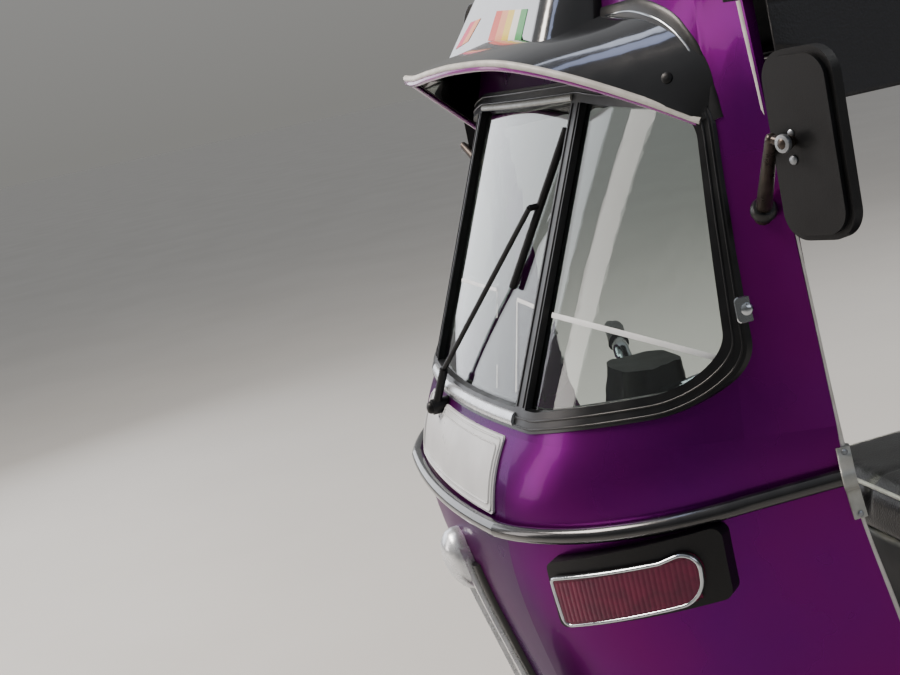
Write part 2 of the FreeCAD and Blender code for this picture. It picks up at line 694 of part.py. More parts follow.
# Rear body
# z, half width, front y, rear y, front radius, rear radius
TUB = [
    (TUB_LOW, HALF_WIDTH - 12, TUB_FRONT, TUB_REAR - 25, 40.0, 110.0),
    (580.0, HALF_WIDTH, TUB_FRONT, TUB_REAR, 50.0, 130.0),
    (TUB_TOP, HALF_WIDTH - 46, TUB_FRONT, TUB_REAR - 40, 60.0, 140.0),
]


def tub_wire(row, d):
    z, half, front, rear, rf, rr = row
    return rounded([(-half + d, front + d, rf - d), (half - d, front + d, rf - d), (half - d, rear - d, rr - d),
                    (-half + d, rear - d, rr - d)], lambda u, v: at(u, v, z))


def tub_solid(d):
    return Part.makeLoft([tub_wire(row, d) for row in TUB], True, False)


def lid_window(grow):
    half = LID_HALF + grow
    return prism_y([(-half, LID_LOW - grow, 20 + grow), (half, LID_LOW - grow, 20 + grow),
                    (half, LID_HIGH + grow, 20 + grow), (-half, LID_HIGH + grow, 20 + grow)],
                   REAR_AXLE + 200, REAR_AXLE + 600)


def make_tub():
    """Rear wings and tail in one shell, with arches, lid opening and the deck over the engine."""
    shell = tub_solid(0).cut(tub_solid(BODY_WALL))
    deck = tub_solid(0).common(box(-HALF_WIDTH, HALF_WIDTH, TUB_FRONT, TUB_REAR, TUB_TOP - BODY_WALL, TUB_TOP))
    deck = deck.cut(box(-CABIN_HALF, CABIN_HALF, TUB_FRONT - 10, SEAT_BACK, 700, 900))
    tub = shell.fuse(deck)
    tub = tub.cut(box(-CABIN_HALF, CABIN_HALF, TUB_FRONT - 10, TUB_FRONT + 60, 200, 900))
    arch = rod(at(-900, REAR_AXLE, TYRE_RADIUS), at(900, REAR_AXLE, TYRE_RADIUS), ARCH_RADIUS)
    tub = tub.cut(arch).cut(lid_window(LID_GAP)).removeSplitter()
    for hinge in hinge_ears():
        tub = tub.fuse(hinge)
    return tub


LOUVRES = 6
LOUVRE_PITCH = 34.0
LOUVRE_HALF = 120.0
LOUVRE_X = 190.0
LOUVRE_LOW = LID_LOW + 80.0
LOUVRE_GAP = 10.0
HINGE_RADIUS = 7.0
HINGE_PIN = 3.0
HINGE_CLEARANCE = 0.05
HINGE_X = 250.0
HINGE_HALF = 22.0
HINGE_Z = LID_HIGH + 12.0
HINGE_Y = TUB_REAR + 6.0


def hinge_ears():
    """Pins and ears on the tail that hold the lid."""
    hinges = []
    for side in (1, -1):
        x = side * HINGE_X
        pin = rod(at(x - HINGE_HALF - 12, HINGE_Y, HINGE_Z), at(x + HINGE_HALF + 12, HINGE_Y, HINGE_Z), HINGE_PIN)
        for end in (-1, 1):
            x0, x1 = sorted((x + end * (HINGE_HALF + 2), x + end * (HINGE_HALF + 12)))
            pin = pin.fuse(prism_x([(HINGE_Y + 6, HINGE_Z - 6, 5), (HINGE_Y + 6, HINGE_Z + 6, 5),
                                    (HINGE_Y - 40, HINGE_Z + 30, 0), (HINGE_Y - 40, HINGE_Z + 4, 0)], x0, x1))
        hinges.append(pin)
    return hinges


def make_lid():
    """Lid over the engine with rows of louvres and its hinge knuckles."""
    lid = tub_solid(0).cut(tub_solid(BODY_WALL)).common(lid_window(0))
    for i in range(LOUVRES):
        z = LOUVRE_LOW + i * LOUVRE_PITCH
        for side in (1, -1):
            x = side * LOUVRE_X
            r = LOUVRE_GAP / 2 - 0.1
            slot = prism_y([(x - LOUVRE_HALF, z, r), (x + LOUVRE_HALF, z, r), (x + LOUVRE_HALF, z + LOUVRE_GAP, r),
                            (x - LOUVRE_HALF, z + LOUVRE_GAP, r)], REAR_AXLE + 200, REAR_AXLE + 500)
            lid = lid.cut(slot)
    for side in (1, -1):
        x = side * HINGE_X
        knuckle = rod(at(x - HINGE_HALF, HINGE_Y, HINGE_Z), at(x + HINGE_HALF, HINGE_Y, HINGE_Z), HINGE_RADIUS)
        strap = prism_x([(HINGE_Y + 1, HINGE_Z, 0), (HINGE_Y + 6, HINGE_Z, 0), (HINGE_Y - 2, LID_HIGH - 50, 0),
                         (HINGE_Y - 30, LID_HIGH - 50, 0), (HINGE_Y - 30, LID_HIGH - 8, 0)],
                        x - HINGE_HALF + 4, x + HINGE_HALF - 4)
        lid = lid.fuse(strap.cut(tub_solid(0))).fuse(knuckle)
        bore = rod(at(x - 90, HINGE_Y, HINGE_Z), at(x + 90, HINGE_Y, HINGE_Z), HINGE_PIN + HINGE_CLEARANCE)
        lid = lid.cut(bore)
    return lid


def make_seat_box():
    """Sheet box that carries the passenger seat and walls off the wheels and engine."""
    w = BODY_WALL
    front = box(-CABIN_HALF, CABIN_HALF, TUB_FRONT, TUB_FRONT + w, FLOOR_TOP, SEAT_TOP)
    top = box(-CABIN_HALF, CABIN_HALF, TUB_FRONT, SEAT_BACK, SEAT_TOP - w, SEAT_TOP)
    back = box(-CABIN_HALF, CABIN_HALF, SEAT_BACK - w, SEAT_BACK, SEAT_TOP - w, TUB_TOP)
    case = front.fuse(top).fuse(back)
    for side in (1, -1):
        x0, x1 = sorted((side * (CABIN_HALF - w), side * CABIN_HALF))
        case = case.fuse(box(x0, x1, TUB_FRONT, SEAT_BACK, FLOOR_TOP, TUB_TOP))
    return case.removeSplitter()


# Rear running gear
ARM_PIVOT = TUB_FRONT + 60
ARM_X = 478.0


def make_arms():
    """Trailing arm and stub axle of a rear wheel."""
    arm = prism_z([(ARM_X - 60, ARM_PIVOT, 0), (ARM_X + 8, ARM_PIVOT, 0), (ARM_X + 24, REAR_AXLE - 40, 0),
                   (ARM_X + 24, REAR_AXLE + 36, 18), (ARM_X - 26, REAR_AXLE + 36, 18), (ARM_X - 26, REAR_AXLE - 80, 0)],
                  TYRE_RADIUS - 22, TYRE_RADIUS + 22)
    tip = prism_x([(ARM_PIVOT, FLOOR_TOP - SILL_DEPTH, 0), (ARM_PIVOT + 90, TYRE_RADIUS + 22, 0),
                   (ARM_PIVOT + 90, TYRE_RADIUS - 22, 0), (ARM_PIVOT, TYRE_RADIUS - 22, 0)], ARM_X - 60, ARM_X + 8)
    block = box(ARM_X - 60, ARM_X + 8, ARM_PIVOT, ARM_PIVOT + 40, TYRE_RADIUS - 22, FLOOR_TOP - 8)
    axle = rod(at(ARM_X, REAR_AXLE, TYRE_RADIUS), at(REAR_TRACK / 2 + 40, REAR_AXLE, TYRE_RADIUS), AXLE_RADIUS)
    shoulder = rod(at(ARM_X + 20, REAR_AXLE, TYRE_RADIUS), at(ARM_X + 50, REAR_AXLE, TYRE_RADIUS), 22)
    return both(arm.fuse(tip).fuse(block).fuse(axle).fuse(shoulder))


def make_shocks():
    """Rear spring units between the arms and the seat box."""
    low = at(ARM_X - 40, REAR_AXLE - 95, TYRE_RADIUS + 22)
    high = at(ARM_X - 40, REAR_AXLE - 95, SEAT_TOP - BODY_WALL)
    body = rod(low, high, 14)
    spring = rod(V(low.x, low.y, low.z + 40), V(high.x, high.y, high.z - 60), 27)
    return both(body.fuse(spring))


ENGINE = (-205.0, 205.0, REAR_AXLE - 30, REAR_AXLE + 250, 175.0, 505.0)


def make_engine():
    return box(*ENGINE)


def make_half_shafts():
    shaft = rod(at(ENGINE[1], REAR_AXLE, TYRE_RADIUS), at(ARM_X - 26, REAR_AXLE, TYRE_RADIUS), 13)
    boot = Part.makeCone(34, 18, 60, at(ENGINE[1], REAR_AXLE, TYRE_RADIUS), V(1, 0, 0))
    return both(shaft.fuse(boot))


SILENCER_RADIUS = 42.0
TAIL_RADIUS = 14.0


def make_silencer():
    low = TYRE_RADIUS + 25
    y = ENGINE[3] + SILENCER_RADIUS
    can = rod(at(-170, y, low), at(150, y, low), SILENCER_RADIUS)
    tail = rod(at(-170, y, low), at(-215, y, low), TAIL_RADIUS)
    return can.fuse(tail)


BUMPER_RADIUS = 17.0
BUMPER_Z = 372.0
PLATE_TAB_HALF = 95.0
PLATE_TAB_LOW = 290.0
PLATE_HOLE = 3.2
PLATE_HOLE_X = 60.0
PLATE_HOLE_Z = 312.0


def make_bumper():
    """Rear tube with its two stays and the tab for a registration plate, with two bolt holes."""
    y = REAR_AXLE + REAR_REACH - BUMPER_RADIUS
    corner = 90
    ends = [at(560, y - corner, BUMPER_Z), at(560, y, BUMPER_Z), at(-560, y, BUMPER_Z), at(-560, y - corner, BUMPER_Z)]
    tube = pipe(path(ends, 60), BUMPER_RADIUS)
    for x in (-480, 480):
        tube = tube.fuse(box(x - 15, x + 15, TUB_REAR - 60, y, BUMPER_Z - 10, BUMPER_Z + 10))
    tab = box(-PLATE_TAB_HALF, PLATE_TAB_HALF, y - 2, y + 2, PLATE_TAB_LOW, BUMPER_Z)
    for x in (-PLATE_HOLE_X, PLATE_HOLE_X):
        tab = tab.cut(rod(at(x, y - 9, PLATE_HOLE_Z), at(x, y + 9, PLATE_HOLE_Z), PLATE_HOLE))
    return tube.cut(tub_solid(0)).fuse(tab)


# Seats
BENCH_CUSHION = 118.0
BENCH_FRONT = TUB_FRONT - 10.0
BENCH_REAR = SEAT_BACK - 110.0
BENCH_HALF = CABIN_HALF - BODY_WALL - 3.0
BACKREST_LOW = SEAT_TOP + BENCH_CUSHION + 2.0
BACKREST_TOP = 1100.0
BACKREST_FRONT = BENCH_REAR + 2.0
BACKREST_REAR = SEAT_BACK - BODY_WALL - FIT
BACKREST_LEAN = 28.0


def cushion(x, y0, y1, z0, z1, r):
    return prism_x([(y0, z0, r * 0.4), (y1, z0, r * 0.4), (y1, z1, r), (y0, z1, r)], -x, x)


def make_driver_seat():
    return cushion(DRIVER_HALF, DRIVER_FRONT, DRIVER_REAR, SEAT_LOW, SEAT_LOW + DRIVER_CUSHION, 35)


def make_bench():
    seat = cushion(BENCH_HALF, BENCH_FRONT, BENCH_REAR, SEAT_TOP + FIT, SEAT_TOP + BENCH_CUSHION, 45)
    back = prism_x([(BACKREST_FRONT, BACKREST_LOW, 20), (BACKREST_REAR, BACKREST_LOW, 15),
                    (BACKREST_REAR, BACKREST_TOP, 28), (BACKREST_FRONT + BACKREST_LEAN, BACKREST_TOP, 28)],
                   -BENCH_HALF, BENCH_HALF)
    return seat, back


# Canopy and its frame
def canopy_wire(row, d, base):
    y, hw, shoulder, run, corner, crown = row
    hw, corner, crown = hw - d, corner - d, crown - d
    s = HALF_TURN_SHARE
    mid = at(hw - run * (1 - s), y, shoulder + (corner - shoulder) * s)
    left, right = at(hw, y, shoulder), at(-hw, y, shoulder)
    top_l, top_r = at(hw - run, y, corner), at(-hw + run, y, corner)
    return Part.Wire([Part.makeLine(at(-hw, y, base), at(hw, y, base)), Part.makeLine(at(hw, y, base), left),
                      Part.Arc(left, mid, top_l).toShape(), Part.Arc(top_l, at(0, y, crown), top_r).toShape(),
                      Part.Arc(top_r, V(-mid.x, mid.y, mid.z), right).toShape(),
                      Part.makeLine(right, at(-hw, y, base))])


def canopy_solid(d):
    base = TUB_TOP + FIT if d == 0 else TUB_TOP - 100
    rows = Part.makeLoft([canopy_wire(row, d, base) for row in CANOPY], True, True)
    front = CANOPY[0][0] - (5 * d)
    side = prism_x([(front, BACK_LOW_Z, 0), (BACK_LOW_Y - d, BACK_LOW_Z, 0),
                    (BACK_HIGH_Y - d, BACK_HIGH_Z - d, BACK_ROUND), (front, BACK_HIGH_Z - d, 0)], -700, 700)
    return rows.common(side)


def make_canopy():
    """Vinyl roof with its side and rear curtains."""
    hood = canopy_solid(0).cut(canopy_solid(CLOTH))
    door = prism_x([(100, BACK_LOW_Z, 0), (DOOR_REAR_LOW, BACK_LOW_Z, 0), (DOOR_REAR_HIGH, SKIRT_Z, DOOR_ROUND),
                    (100, SKIRT_Z, 0)], -700, 700)
    window = prism_y([(-WINDOW_HALF_LOW, WINDOW_LOW, WINDOW_ROUND), (WINDOW_HALF_LOW, WINDOW_LOW, WINDOW_ROUND),
                      (WINDOW_HALF_HIGH, WINDOW_HIGH, WINDOW_ROUND),
                      (-WINDOW_HALF_HIGH, WINDOW_HIGH, WINDOW_ROUND)], REAR_AXLE + 50, REAR_AXLE + 500)
    post = box(-700, 700, 200, LOWER_COWL[-1][9], 600, CANOPY_LAP_Z + FIT)
    return hood.cut(door).cut(window).cut(post)


def hoop_at(y, low):
    """Tube hoop just inside the canopy at y, down to the height low."""
    for a, b in zip(CANOPY, CANOPY[1:]):
        if a[0] <= y <= b[0]:
            t = (y - a[0]) / (b[0] - a[0])
            row = [p + (q - p) * t for p, q in zip(a, b)]
    d = CLOTH + TUBE + FIT
    half, shoulder, run, corner, crown = row[1] - d, row[2], row[3], row[4] - d, row[5] - d
    s = HALF_TURN_SHARE
    left = at(half, y, shoulder)
    mid = at(half - run * (1 - s), y, shoulder + (corner - shoulder) * s)
    top = at(half - run, y, corner)
    flip = [V(-p.x, p.y, p.z) for p in (left, mid, top)]
    edges = [Part.makeLine(at(half, y, low), left), Part.Arc(left, mid, top).toShape(),
             Part.Arc(top, at(0, y, crown), flip[2]).toShape(), Part.Arc(flip[2], flip[1], flip[0]).toShape(),
             Part.makeLine(flip[0], at(-half, y, low))]
    return pipe(Part.Wire(edges), TUBE), half


def make_frame():
    """Two hoops, the side rails between cowl and tail, and the cross bars behind the seats."""
    front, half_front = hoop_at(HOOP_Y, FLOOR_TOP)
    rear, half_rear = hoop_at(REAR_HOOP_Y, TUB_TOP)
    frame = front.fuse(rear)
    x, y = HOOD_RAIL_START
    for side in (1, -1):
        a = at(side * x, y, HOOD_RAIL_Z)
        b = at(side * half_front, HOOP_Y, HOOD_RAIL_Z)
        c = at(side * half_rear, REAR_HOOP_Y, HOOD_RAIL_Z)
        frame = frame.fuse(rod(a, b, TUBE)).fuse(rod(b, c, TUBE))
    for z in CROSS_BARS:
        frame = frame.fuse(rod(at(-half_front, HOOP_Y, z), at(half_front, HOOP_Y, z), TUBE))
    return frame.cut(box(-700, 700, REAR_HOOP_Y - 50, REAR_HOOP_Y + 50, 600, TUB_TOP))


# Mirrors
MIRROR = (596.0, 284.0, 1374.0)
MIRROR_TURN = 20.0
MIRROR_FOOT = (472.0, 277.6, 1297.7)
ARM_RADIUS = 9.0
ELBOW_RADIUS = 6.0
ELBOW_REACH = 17.0
ELBOW_RISE = 5.0
BALL_RADIUS = 8.0
BALL_OUT = 27.0           # of the ball from the mirror's face, forwards
BALL_INWARD = 12.0
BALL_RISE = 6.0


def make_mirrors():
    turn = radians(MIRROR_TURN)
    x, y, z = MIRROR
    across = V(cos(turn), sin(turn), 0)
    ahead = V(sin(turn), -cos(turn), 0)
    base = at(x, y, z)
    def plate(half_w, half_h, r, n0, n1):
        outline = rounded([(-half_w, -half_h, r), (half_w, -half_h, r), (half_w, half_h, r), (-half_w, half_h, r)],
                          lambda u, v: base + across * u + V(0, 0, v) + ahead * n0)
        return Part.Face(outline).extrude(ahead * (n1 - n0))
    shell = plate(43, 91, 28, 0, 12).fuse(plate(37, 85, 24, 12, 17))
    glass = plate(39, 87, 25, -3, 0)
    foot = at(*MIRROR_FOOT)
    ball = base + ahead * BALL_OUT - across * BALL_INWARD + V(0, 0, BALL_RISE)
    elbow = ball - across * ELBOW_REACH + V(0, 0, ELBOW_RISE)
    rise = elbow - foot
    arm = Part.makeCone(ARM_RADIUS, ELBOW_RADIUS, rise.Length, foot, rise)
    arm = arm.fuse(Part.makeSphere(ELBOW_RADIUS, elbow)).fuse(rod(elbow, ball, ELBOW_RADIUS - 1))
    arm = arm.fuse(Part.makeSphere(BALL_RADIUS, ball)).fuse(rod(ball, ball - ahead * BALL_OUT, ELBOW_RADIUS - 1))
    arm = arm.cut(shell).cut(glass).cut(upper_band(0, -COWL_WALL))
    arm = max(arm.Solids, key=lambda solid: solid.Volume)
    return both(shell), both(glass), both(arm)


# Wiper
WIPER_PIVOT = (-75.0, 1066.0)
WIPER_HUB = (159.0, 1330.0)
PIVOT_RADIUS = 11.0
BLADE_LIFT = 0.8          # over the glass at the blade's ends, because the glass bulges between them
BLADE = ((120.0, 1234.0), (194.0, 1416.0))
BLADE_RADIUS = 5.0


def screen_y(x, z):
    """Outer surface of the centre pane's part of the cowl at x and z."""
    t = (z - SILL_Z) / (HEADER_Z - SILL_Z)
    yn, xf, yf = [UPPER_COWL[0][i] + t * (UPPER_COWL[1][i] - UPPER_COWL[0][i]) for i in (1, 2, 3)]
    return yn + (yf - yn) * (x / xf) ** 2


def on_screen(point, off):
    """Point off the centre pane's outer face by off."""
    x, z = point
    return at(x, screen_y(x, z) + GLASS_INSET - off, z)


def make_wiper():
    """Pivot on the sill, arm over the glass, and blade on the glass, as one piece."""
    x, z = WIPER_PIVOT
    y = screen_y(x, z)
    block = rod(at(x, y + 12, z), at(x, y - 22, z), PIVOT_RADIUS)
    block = block.cut(cowl_fill(LOWER_COWL, FIT, False)).cut(cowl_fill(UPPER_COWL, FIT, True))
    knee = on_screen((x + 18, z + 52), 24)
    hub = on_screen(WIPER_HUB, 20)
    arm = rod(at(x, y - 16, z), knee, 6).fuse(rod(knee, hub, 3.5))
    low, high = on_screen(BLADE[0], BLADE_RADIUS + BLADE_LIFT), on_screen(BLADE[1], BLADE_RADIUS + BLADE_LIFT)
    blade = rod(low, high, BLADE_RADIUS)
    link = rod(hub, on_screen(WIPER_HUB, BLADE_RADIUS + 1), 4)
    return block.fuse(arm).fuse(blade).fuse(link)


# Rear lamps and plate
def make_rear_lamps():
    lamp = prism_y([(470, 560, 12), (560, 560, 12), (560, 700, 12), (470, 700, 12)],
                   TUB_REAR - 200, TUB_REAR - 4).cut(tub_solid(0))
    return both(lamp)


def export(name, shape):
    solids = shape.Solids
    flawed = [s for s in solids if not s.isValid()]
    whole = Part.makeCompound(solids) if len(solids) > 1 else solids[0]
    whole.exportStep("parts/" + name + ".step")
    note = "" if not flawed else "  NOT VALID: %d" % len(flawed)
    print("%-18s %2d solids %10.0f mm3%s" % (name, len(solids), whole.Volume, note))


def build():
    os.makedirs("parts", exist_ok=True)
    centre_pane, side_panes = make_panes()
    spine, spine_strip = make_spine()
    lamps, lenses = make_lamps()
    headlamp, headlamp_lens = make_headlamp()
    bench, bench_back = make_bench()
    mirror_shells, mirror_glass, mirror_arms = make_mirrors()
    track = REAR_TRACK / 2
    nodes = [
        ("cowl", make_cowl()),
        ("screen_rubber", make_rubber()),
        ("centre_pane", centre_pane),
        ("side_panes", side_panes),
        ("visor", make_visor()),
        ("nose_spine", spine),
        ("spine_strip", spine_strip),
        ("nose_rail", make_rail()),
        ("front_plate", make_front_plate()),
        ("side_lamps", lamps),
        ("side_lenses", lenses),
        ("floor_pan", make_floor()),
        ("fork", make_fork()),
        ("front_link", make_link()),
        ("handlebar", make_bar()),
        ("grips", make_grips()),
        ("bar_head", make_nacelle()),
        ("mudguard", make_mudguard()),
        ("headlamp", headlamp),
        ("headlamp_lens", headlamp_lens),
        ("front_tyre", make_tyre(0, 0)),
        ("front_wheel", make_wheel(0, 0, 1)),
        ("left_tyre", make_tyre(track, REAR_AXLE)),
        ("left_wheel", make_wheel(track, REAR_AXLE, 1)),
        ("right_tyre", mirrored(make_tyre(track, REAR_AXLE))),
        ("right_wheel", mirrored(make_wheel(track, REAR_AXLE, 1))),
        ("tub", make_tub()),
        ("engine_lid", make_lid()),
        ("seat_box", make_seat_box()),
        ("rear_arms", make_arms()),
        ("rear_shocks", make_shocks()),
        ("engine", make_engine()),
        ("half_shafts", make_half_shafts()),
        ("silencer", make_silencer()),
        ("bumper", make_bumper()),
        ("driver_seat", make_driver_seat()),
        ("bench_seat", bench),
        ("bench_back", bench_back),
        ("canopy", make_canopy()),
        ("hood_frame", make_frame()),
        ("mirror_shells", mirror_shells),
        ("mirror_glass", mirror_glass),
        ("mirror_arms", mirror_arms),
        ("wiper", make_wiper()),
        ("rear_lamps", make_rear_lamps()),
    ]
    for name, shape in nodes:
        export(name, shape)


build()
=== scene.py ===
# %% [markdown]
# # An auto rickshaw, dressed for a studio picture
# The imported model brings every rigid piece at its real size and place. This lesson gives those pieces their
# finishes, adds the thin trim, the tread and the soft goods, and sets up the camera and the light.

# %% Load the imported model
from math import cos, pi, radians, sin
import bpy
import numpy as np
from mathutils import Matrix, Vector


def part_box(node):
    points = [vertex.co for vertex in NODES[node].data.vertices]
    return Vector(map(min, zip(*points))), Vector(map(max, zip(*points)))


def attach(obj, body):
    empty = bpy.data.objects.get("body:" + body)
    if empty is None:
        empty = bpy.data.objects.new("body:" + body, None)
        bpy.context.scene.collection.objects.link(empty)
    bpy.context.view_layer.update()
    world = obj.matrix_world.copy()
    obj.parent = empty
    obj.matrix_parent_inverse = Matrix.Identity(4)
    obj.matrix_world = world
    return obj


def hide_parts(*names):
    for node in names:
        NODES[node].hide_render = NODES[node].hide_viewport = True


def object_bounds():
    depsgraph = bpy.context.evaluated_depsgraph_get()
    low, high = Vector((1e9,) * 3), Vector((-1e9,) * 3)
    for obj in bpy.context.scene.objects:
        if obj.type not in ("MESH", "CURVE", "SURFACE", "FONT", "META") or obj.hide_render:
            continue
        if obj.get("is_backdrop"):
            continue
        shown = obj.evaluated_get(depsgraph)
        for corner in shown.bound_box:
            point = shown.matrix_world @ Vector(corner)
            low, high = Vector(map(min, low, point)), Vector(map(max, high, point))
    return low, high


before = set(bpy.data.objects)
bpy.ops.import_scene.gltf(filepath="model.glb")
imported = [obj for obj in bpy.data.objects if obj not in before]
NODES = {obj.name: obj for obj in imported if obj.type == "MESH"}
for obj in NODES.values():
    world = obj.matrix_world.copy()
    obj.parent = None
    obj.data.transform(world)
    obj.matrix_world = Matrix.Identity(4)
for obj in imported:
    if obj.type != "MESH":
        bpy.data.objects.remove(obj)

CAD_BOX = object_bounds()
MM = 0.001
AXLE_Y = sum(p[1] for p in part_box("front_tyre")) / 2
# the vehicle's own directions: to its left, towards its back, and up
LEFT, BACK, SKYWARD = np.eye(3)
print("nodes:", len(NODES), "front axle at y =", round(AXLE_Y, 4))


def at(x, y, z):
    """Point in metres from millimetres, with y measured back from the front axle."""
    return np.array([x * MM, AXLE_Y + y * MM, z * MM])


# %% [markdown]
# ## Camera
# The picture was taken from the near side, at the height of the screen's top, with the camera tilted. A camera
# can be aimed by a constraint, but a constraint doesn't hold the tilt. A camera is a place and three axes, so
# the axes are worked out from the compass angle, the pitch and the roll.

# %% Camera
CAMERA_AT = np.array([1.8003, -1.4136, 1.5032])
FOCAL_PX = 1403.36
PICTURE_PX = (900, 675)
AZIMUTH, PITCH, ROLL = radians(77.89), radians(10.27), radians(12.08)
FORWARD = np.array([-sin(AZIMUTH) * cos(PITCH), cos(AZIMUTH) * cos(PITCH), -sin(PITCH)])
LEVEL_RIGHT = np.array([cos(AZIMUTH), sin(AZIMUTH), 0.0])
LEVEL_UP = np.cross(LEVEL_RIGHT, FORWARD)
RIGHT = cos(ROLL) * LEVEL_RIGHT - sin(ROLL) * LEVEL_UP
UP = sin(ROLL) * LEVEL_RIGHT + cos(ROLL) * LEVEL_UP


def in_scene(name, data):
    """A new object that shows this data, linked to the scene."""
    obj = bpy.data.objects.new(name, data)
    bpy.context.scene.collection.objects.link(obj)
    return obj


def set_down(place, right, up, back):
    """Matrix that puts a camera or lamp at a place, with its own three axes along these directions."""
    axes = Matrix(np.stack([right, up, back], 1).tolist())
    return Matrix.Translation(place) @ axes.to_4x4()


camera_data = bpy.data.cameras.new("camera")
camera_data.sensor_width = 36.0
camera_data.lens = FOCAL_PX * camera_data.sensor_width / PICTURE_PX[0]
camera = in_scene("camera", camera_data)
camera.matrix_world = set_down(CAMERA_AT, RIGHT, UP, -FORWARD)
bpy.context.scene.camera = camera
print("lens", round(camera_data.lens, 2), "mm")


# %% [markdown]
# ## Surfaces from arrays
# A new piece is either a grid of points, worked out as whole arrays, or a profile carried along a path. Trim
# that lies on a pressed panel could be wrapped on to it by a modifier. Here it takes its points from the panel
# itself: rays are cast on to its triangles, so a strip sits on the sheet from every side and its line is known
# before the strip is swept.

# %% Grids
def unit(v):
    """Vectors of length one: each is divided by the root of the sum of its squares."""
    return v / np.linalg.norm(v, axis=-1, keepdims=True)


def grid_part(points, around=(False, False)):
    """Vertices and quads of a grid (rows, columns, 3); a direction that goes around closes on itself."""
    rows, cols = points.shape[:2]
    i, j = np.meshgrid(np.arange(rows - (not around[0])), np.arange(cols - (not around[1])), indexing="ij")
    i2, j2 = (i + 1) % rows, (j + 1) % cols
    quads = np.stack([i * cols + j, i2 * cols + j, i2 * cols + j2, i * cols + j2], -1).reshape(-1, 4)
    return points.reshape(-1, 3), quads.tolist()


def capped(rings):
    """Closed part from a row of rings (rings, points, 3), with one flat face over each end."""
    points, faces = grid_part(rings, (False, True))
    count, last = rings.shape[1], len(points) - 1
    return points, faces + [list(range(count)), list(range(last, last - count, -1))]


def slab(face, back):
    """Closed sheet between two grids of the same shape, with a rim of quads along all four sides."""
    rows, cols = face.shape[:2]
    front_points, quads = grid_part(face)
    count = rows * cols
    index = np.arange(count).reshape(rows, cols)
    rim = np.concatenate([index[:-1, 0], index[-1, :-1], index[:0:-1, -1], index[0, :0:-1]])
    following = np.roll(rim, -1)
    sides = np.stack([following, rim, rim + count, following + count], 1)
    turned = (np.array(quads)[:, ::-1] + count).tolist()
    return np.concatenate([front_points, back.reshape(-1, 3)]), quads + turned + sides.tolist()


def bilinear(corners, rows, cols):
    """Grid between four corners, the first two along its first row."""
    a, b, c, d = (np.asarray(corner, float) for corner in corners)
    s = np.linspace(0, 1, rows)[:, None, None]
    t = np.linspace(0, 1, cols)[None, :, None]
    return (1 - s) * ((1 - t) * a + t * b) + s * ((1 - t) * d + t * c)


# %% A profile along a path
def sweep(path, normal, profile, closed=False):
    """A closed profile carried along a path: its first axis lies across the path, its second along the
    normal."""
    if closed:
        tangent = unit(np.roll(path, -1, 0) - np.roll(path, 1, 0))
    else:
        tangent = unit(np.gradient(path, axis=0))
    across = unit(np.cross(tangent, normal))
    up = np.cross(across, tangent)
    rings = path[:, None] + profile[None, :, :1] * across[:, None] + profile[None, :, 1:] * up[:, None]
    return grid_part(rings, (True, True)) if closed else capped(rings)


def circle(count):
    """Points of the unit circle, counter-clockwise: cosine and sine of even shares of a turn."""
    turn = 2 * pi * np.arange(count) / count
    return np.stack([np.cos(turn), np.sin(turn)], 1)


def round_profile(radius, count=12):
    """Circle of that radius in millimetres."""
    return circle(count) * radius * MM


def dome_profile(width, height, sink=0.5, count=9):
    """Strip with a crowned top: half an ellipse over a flat base that lies a little under the surface."""
    turn = pi * np.arange(count) / (count - 1)
    top = np.stack([np.cos(turn) * width / 2, np.sin(turn) * height], 1)
    return np.concatenate([top, [[-width / 2, -sink], [width / 2, -sink]]]) * MM


# %% Lines and outlines
def resample(points, step, closed=False):
    """The same line with points evenly spaced along its length, step in the line's own unit."""
    line = np.concatenate([points, points[:1]]) if closed else np.asarray(points, float)
    length = np.concatenate([[0], np.cumsum(np.linalg.norm(np.diff(line, axis=0), axis=1))])
    count = max(2, int(round(length[-1] / step)) + (not closed))
    where = np.linspace(0, length[-1], count, endpoint=not closed)
    return np.stack([np.interp(where, length, line[:, k]) for k in range(line.shape[1])], 1)


def outline(corners, step=4.0):
    """Closed line through (u, v, radius) corners in millimetres: a corner is an arc tangent to its sides."""
    flat = np.array([c[:2] for c in corners], float)
    runs = []
    for i, (_, _, r) in enumerate(corners):
        p = flat[i]
        a = unit(flat[i - 1] - p)
        b = unit(flat[(i + 1) % len(flat)] - p)
        if r == 0:
            runs.append(p[None])
            continue
        half = np.arccos(np.clip(a @ b, -1, 1)) / 2
        centre = p + unit(a + b) * r / sin(half)
        start, end = p + a * r / np.tan(half) - centre, p + b * r / np.tan(half) - centre
        first = np.arctan2(start[1], start[0])
        turn = (np.arctan2(end[1], end[0]) - first + pi) % (2 * pi) - pi
        angle = first + np.linspace(0, turn, max(4, int(abs(turn) * r / step) + 2))
        runs.append(centre + r * np.stack([np.cos(angle), np.sin(angle)], 1))
    return resample(np.concatenate(runs), step, closed=True)


def rectangle(half_width, low, high, radius, step=4.0):
    """Outline of a rectangle about the second axis, with round corners, in millimetres."""
    return outline([(-half_width, low, radius), (half_width, low, radius), (half_width, high, radius),
                    (-half_width, high, radius)], step)


PIECE_STEPS = 24


def flowing(points, step):
    """Smooth line through points: cubic pieces whose slope at a point is half the step from its neighbours."""
    p = np.asarray(points, float)
    q = np.concatenate([[2 * p[0] - p[1]], p, [2 * p[-1] - p[-2]]])
    t = np.linspace(0, 1, PIECE_STEPS, endpoint=False)[:, None]
    runs = []
    for a, b, c, d in zip(q, q[1:], q[2:], q[3:]):
        runs.append(b + t / 2 * (c - a + t * (2 * a - 5 * b + 4 * c - d + t * (3 * (b - c) + d - a))))
    return resample(np.concatenate(runs + [p[-1:]]), step)


# %% Triangles of a piece
FOUND = {}


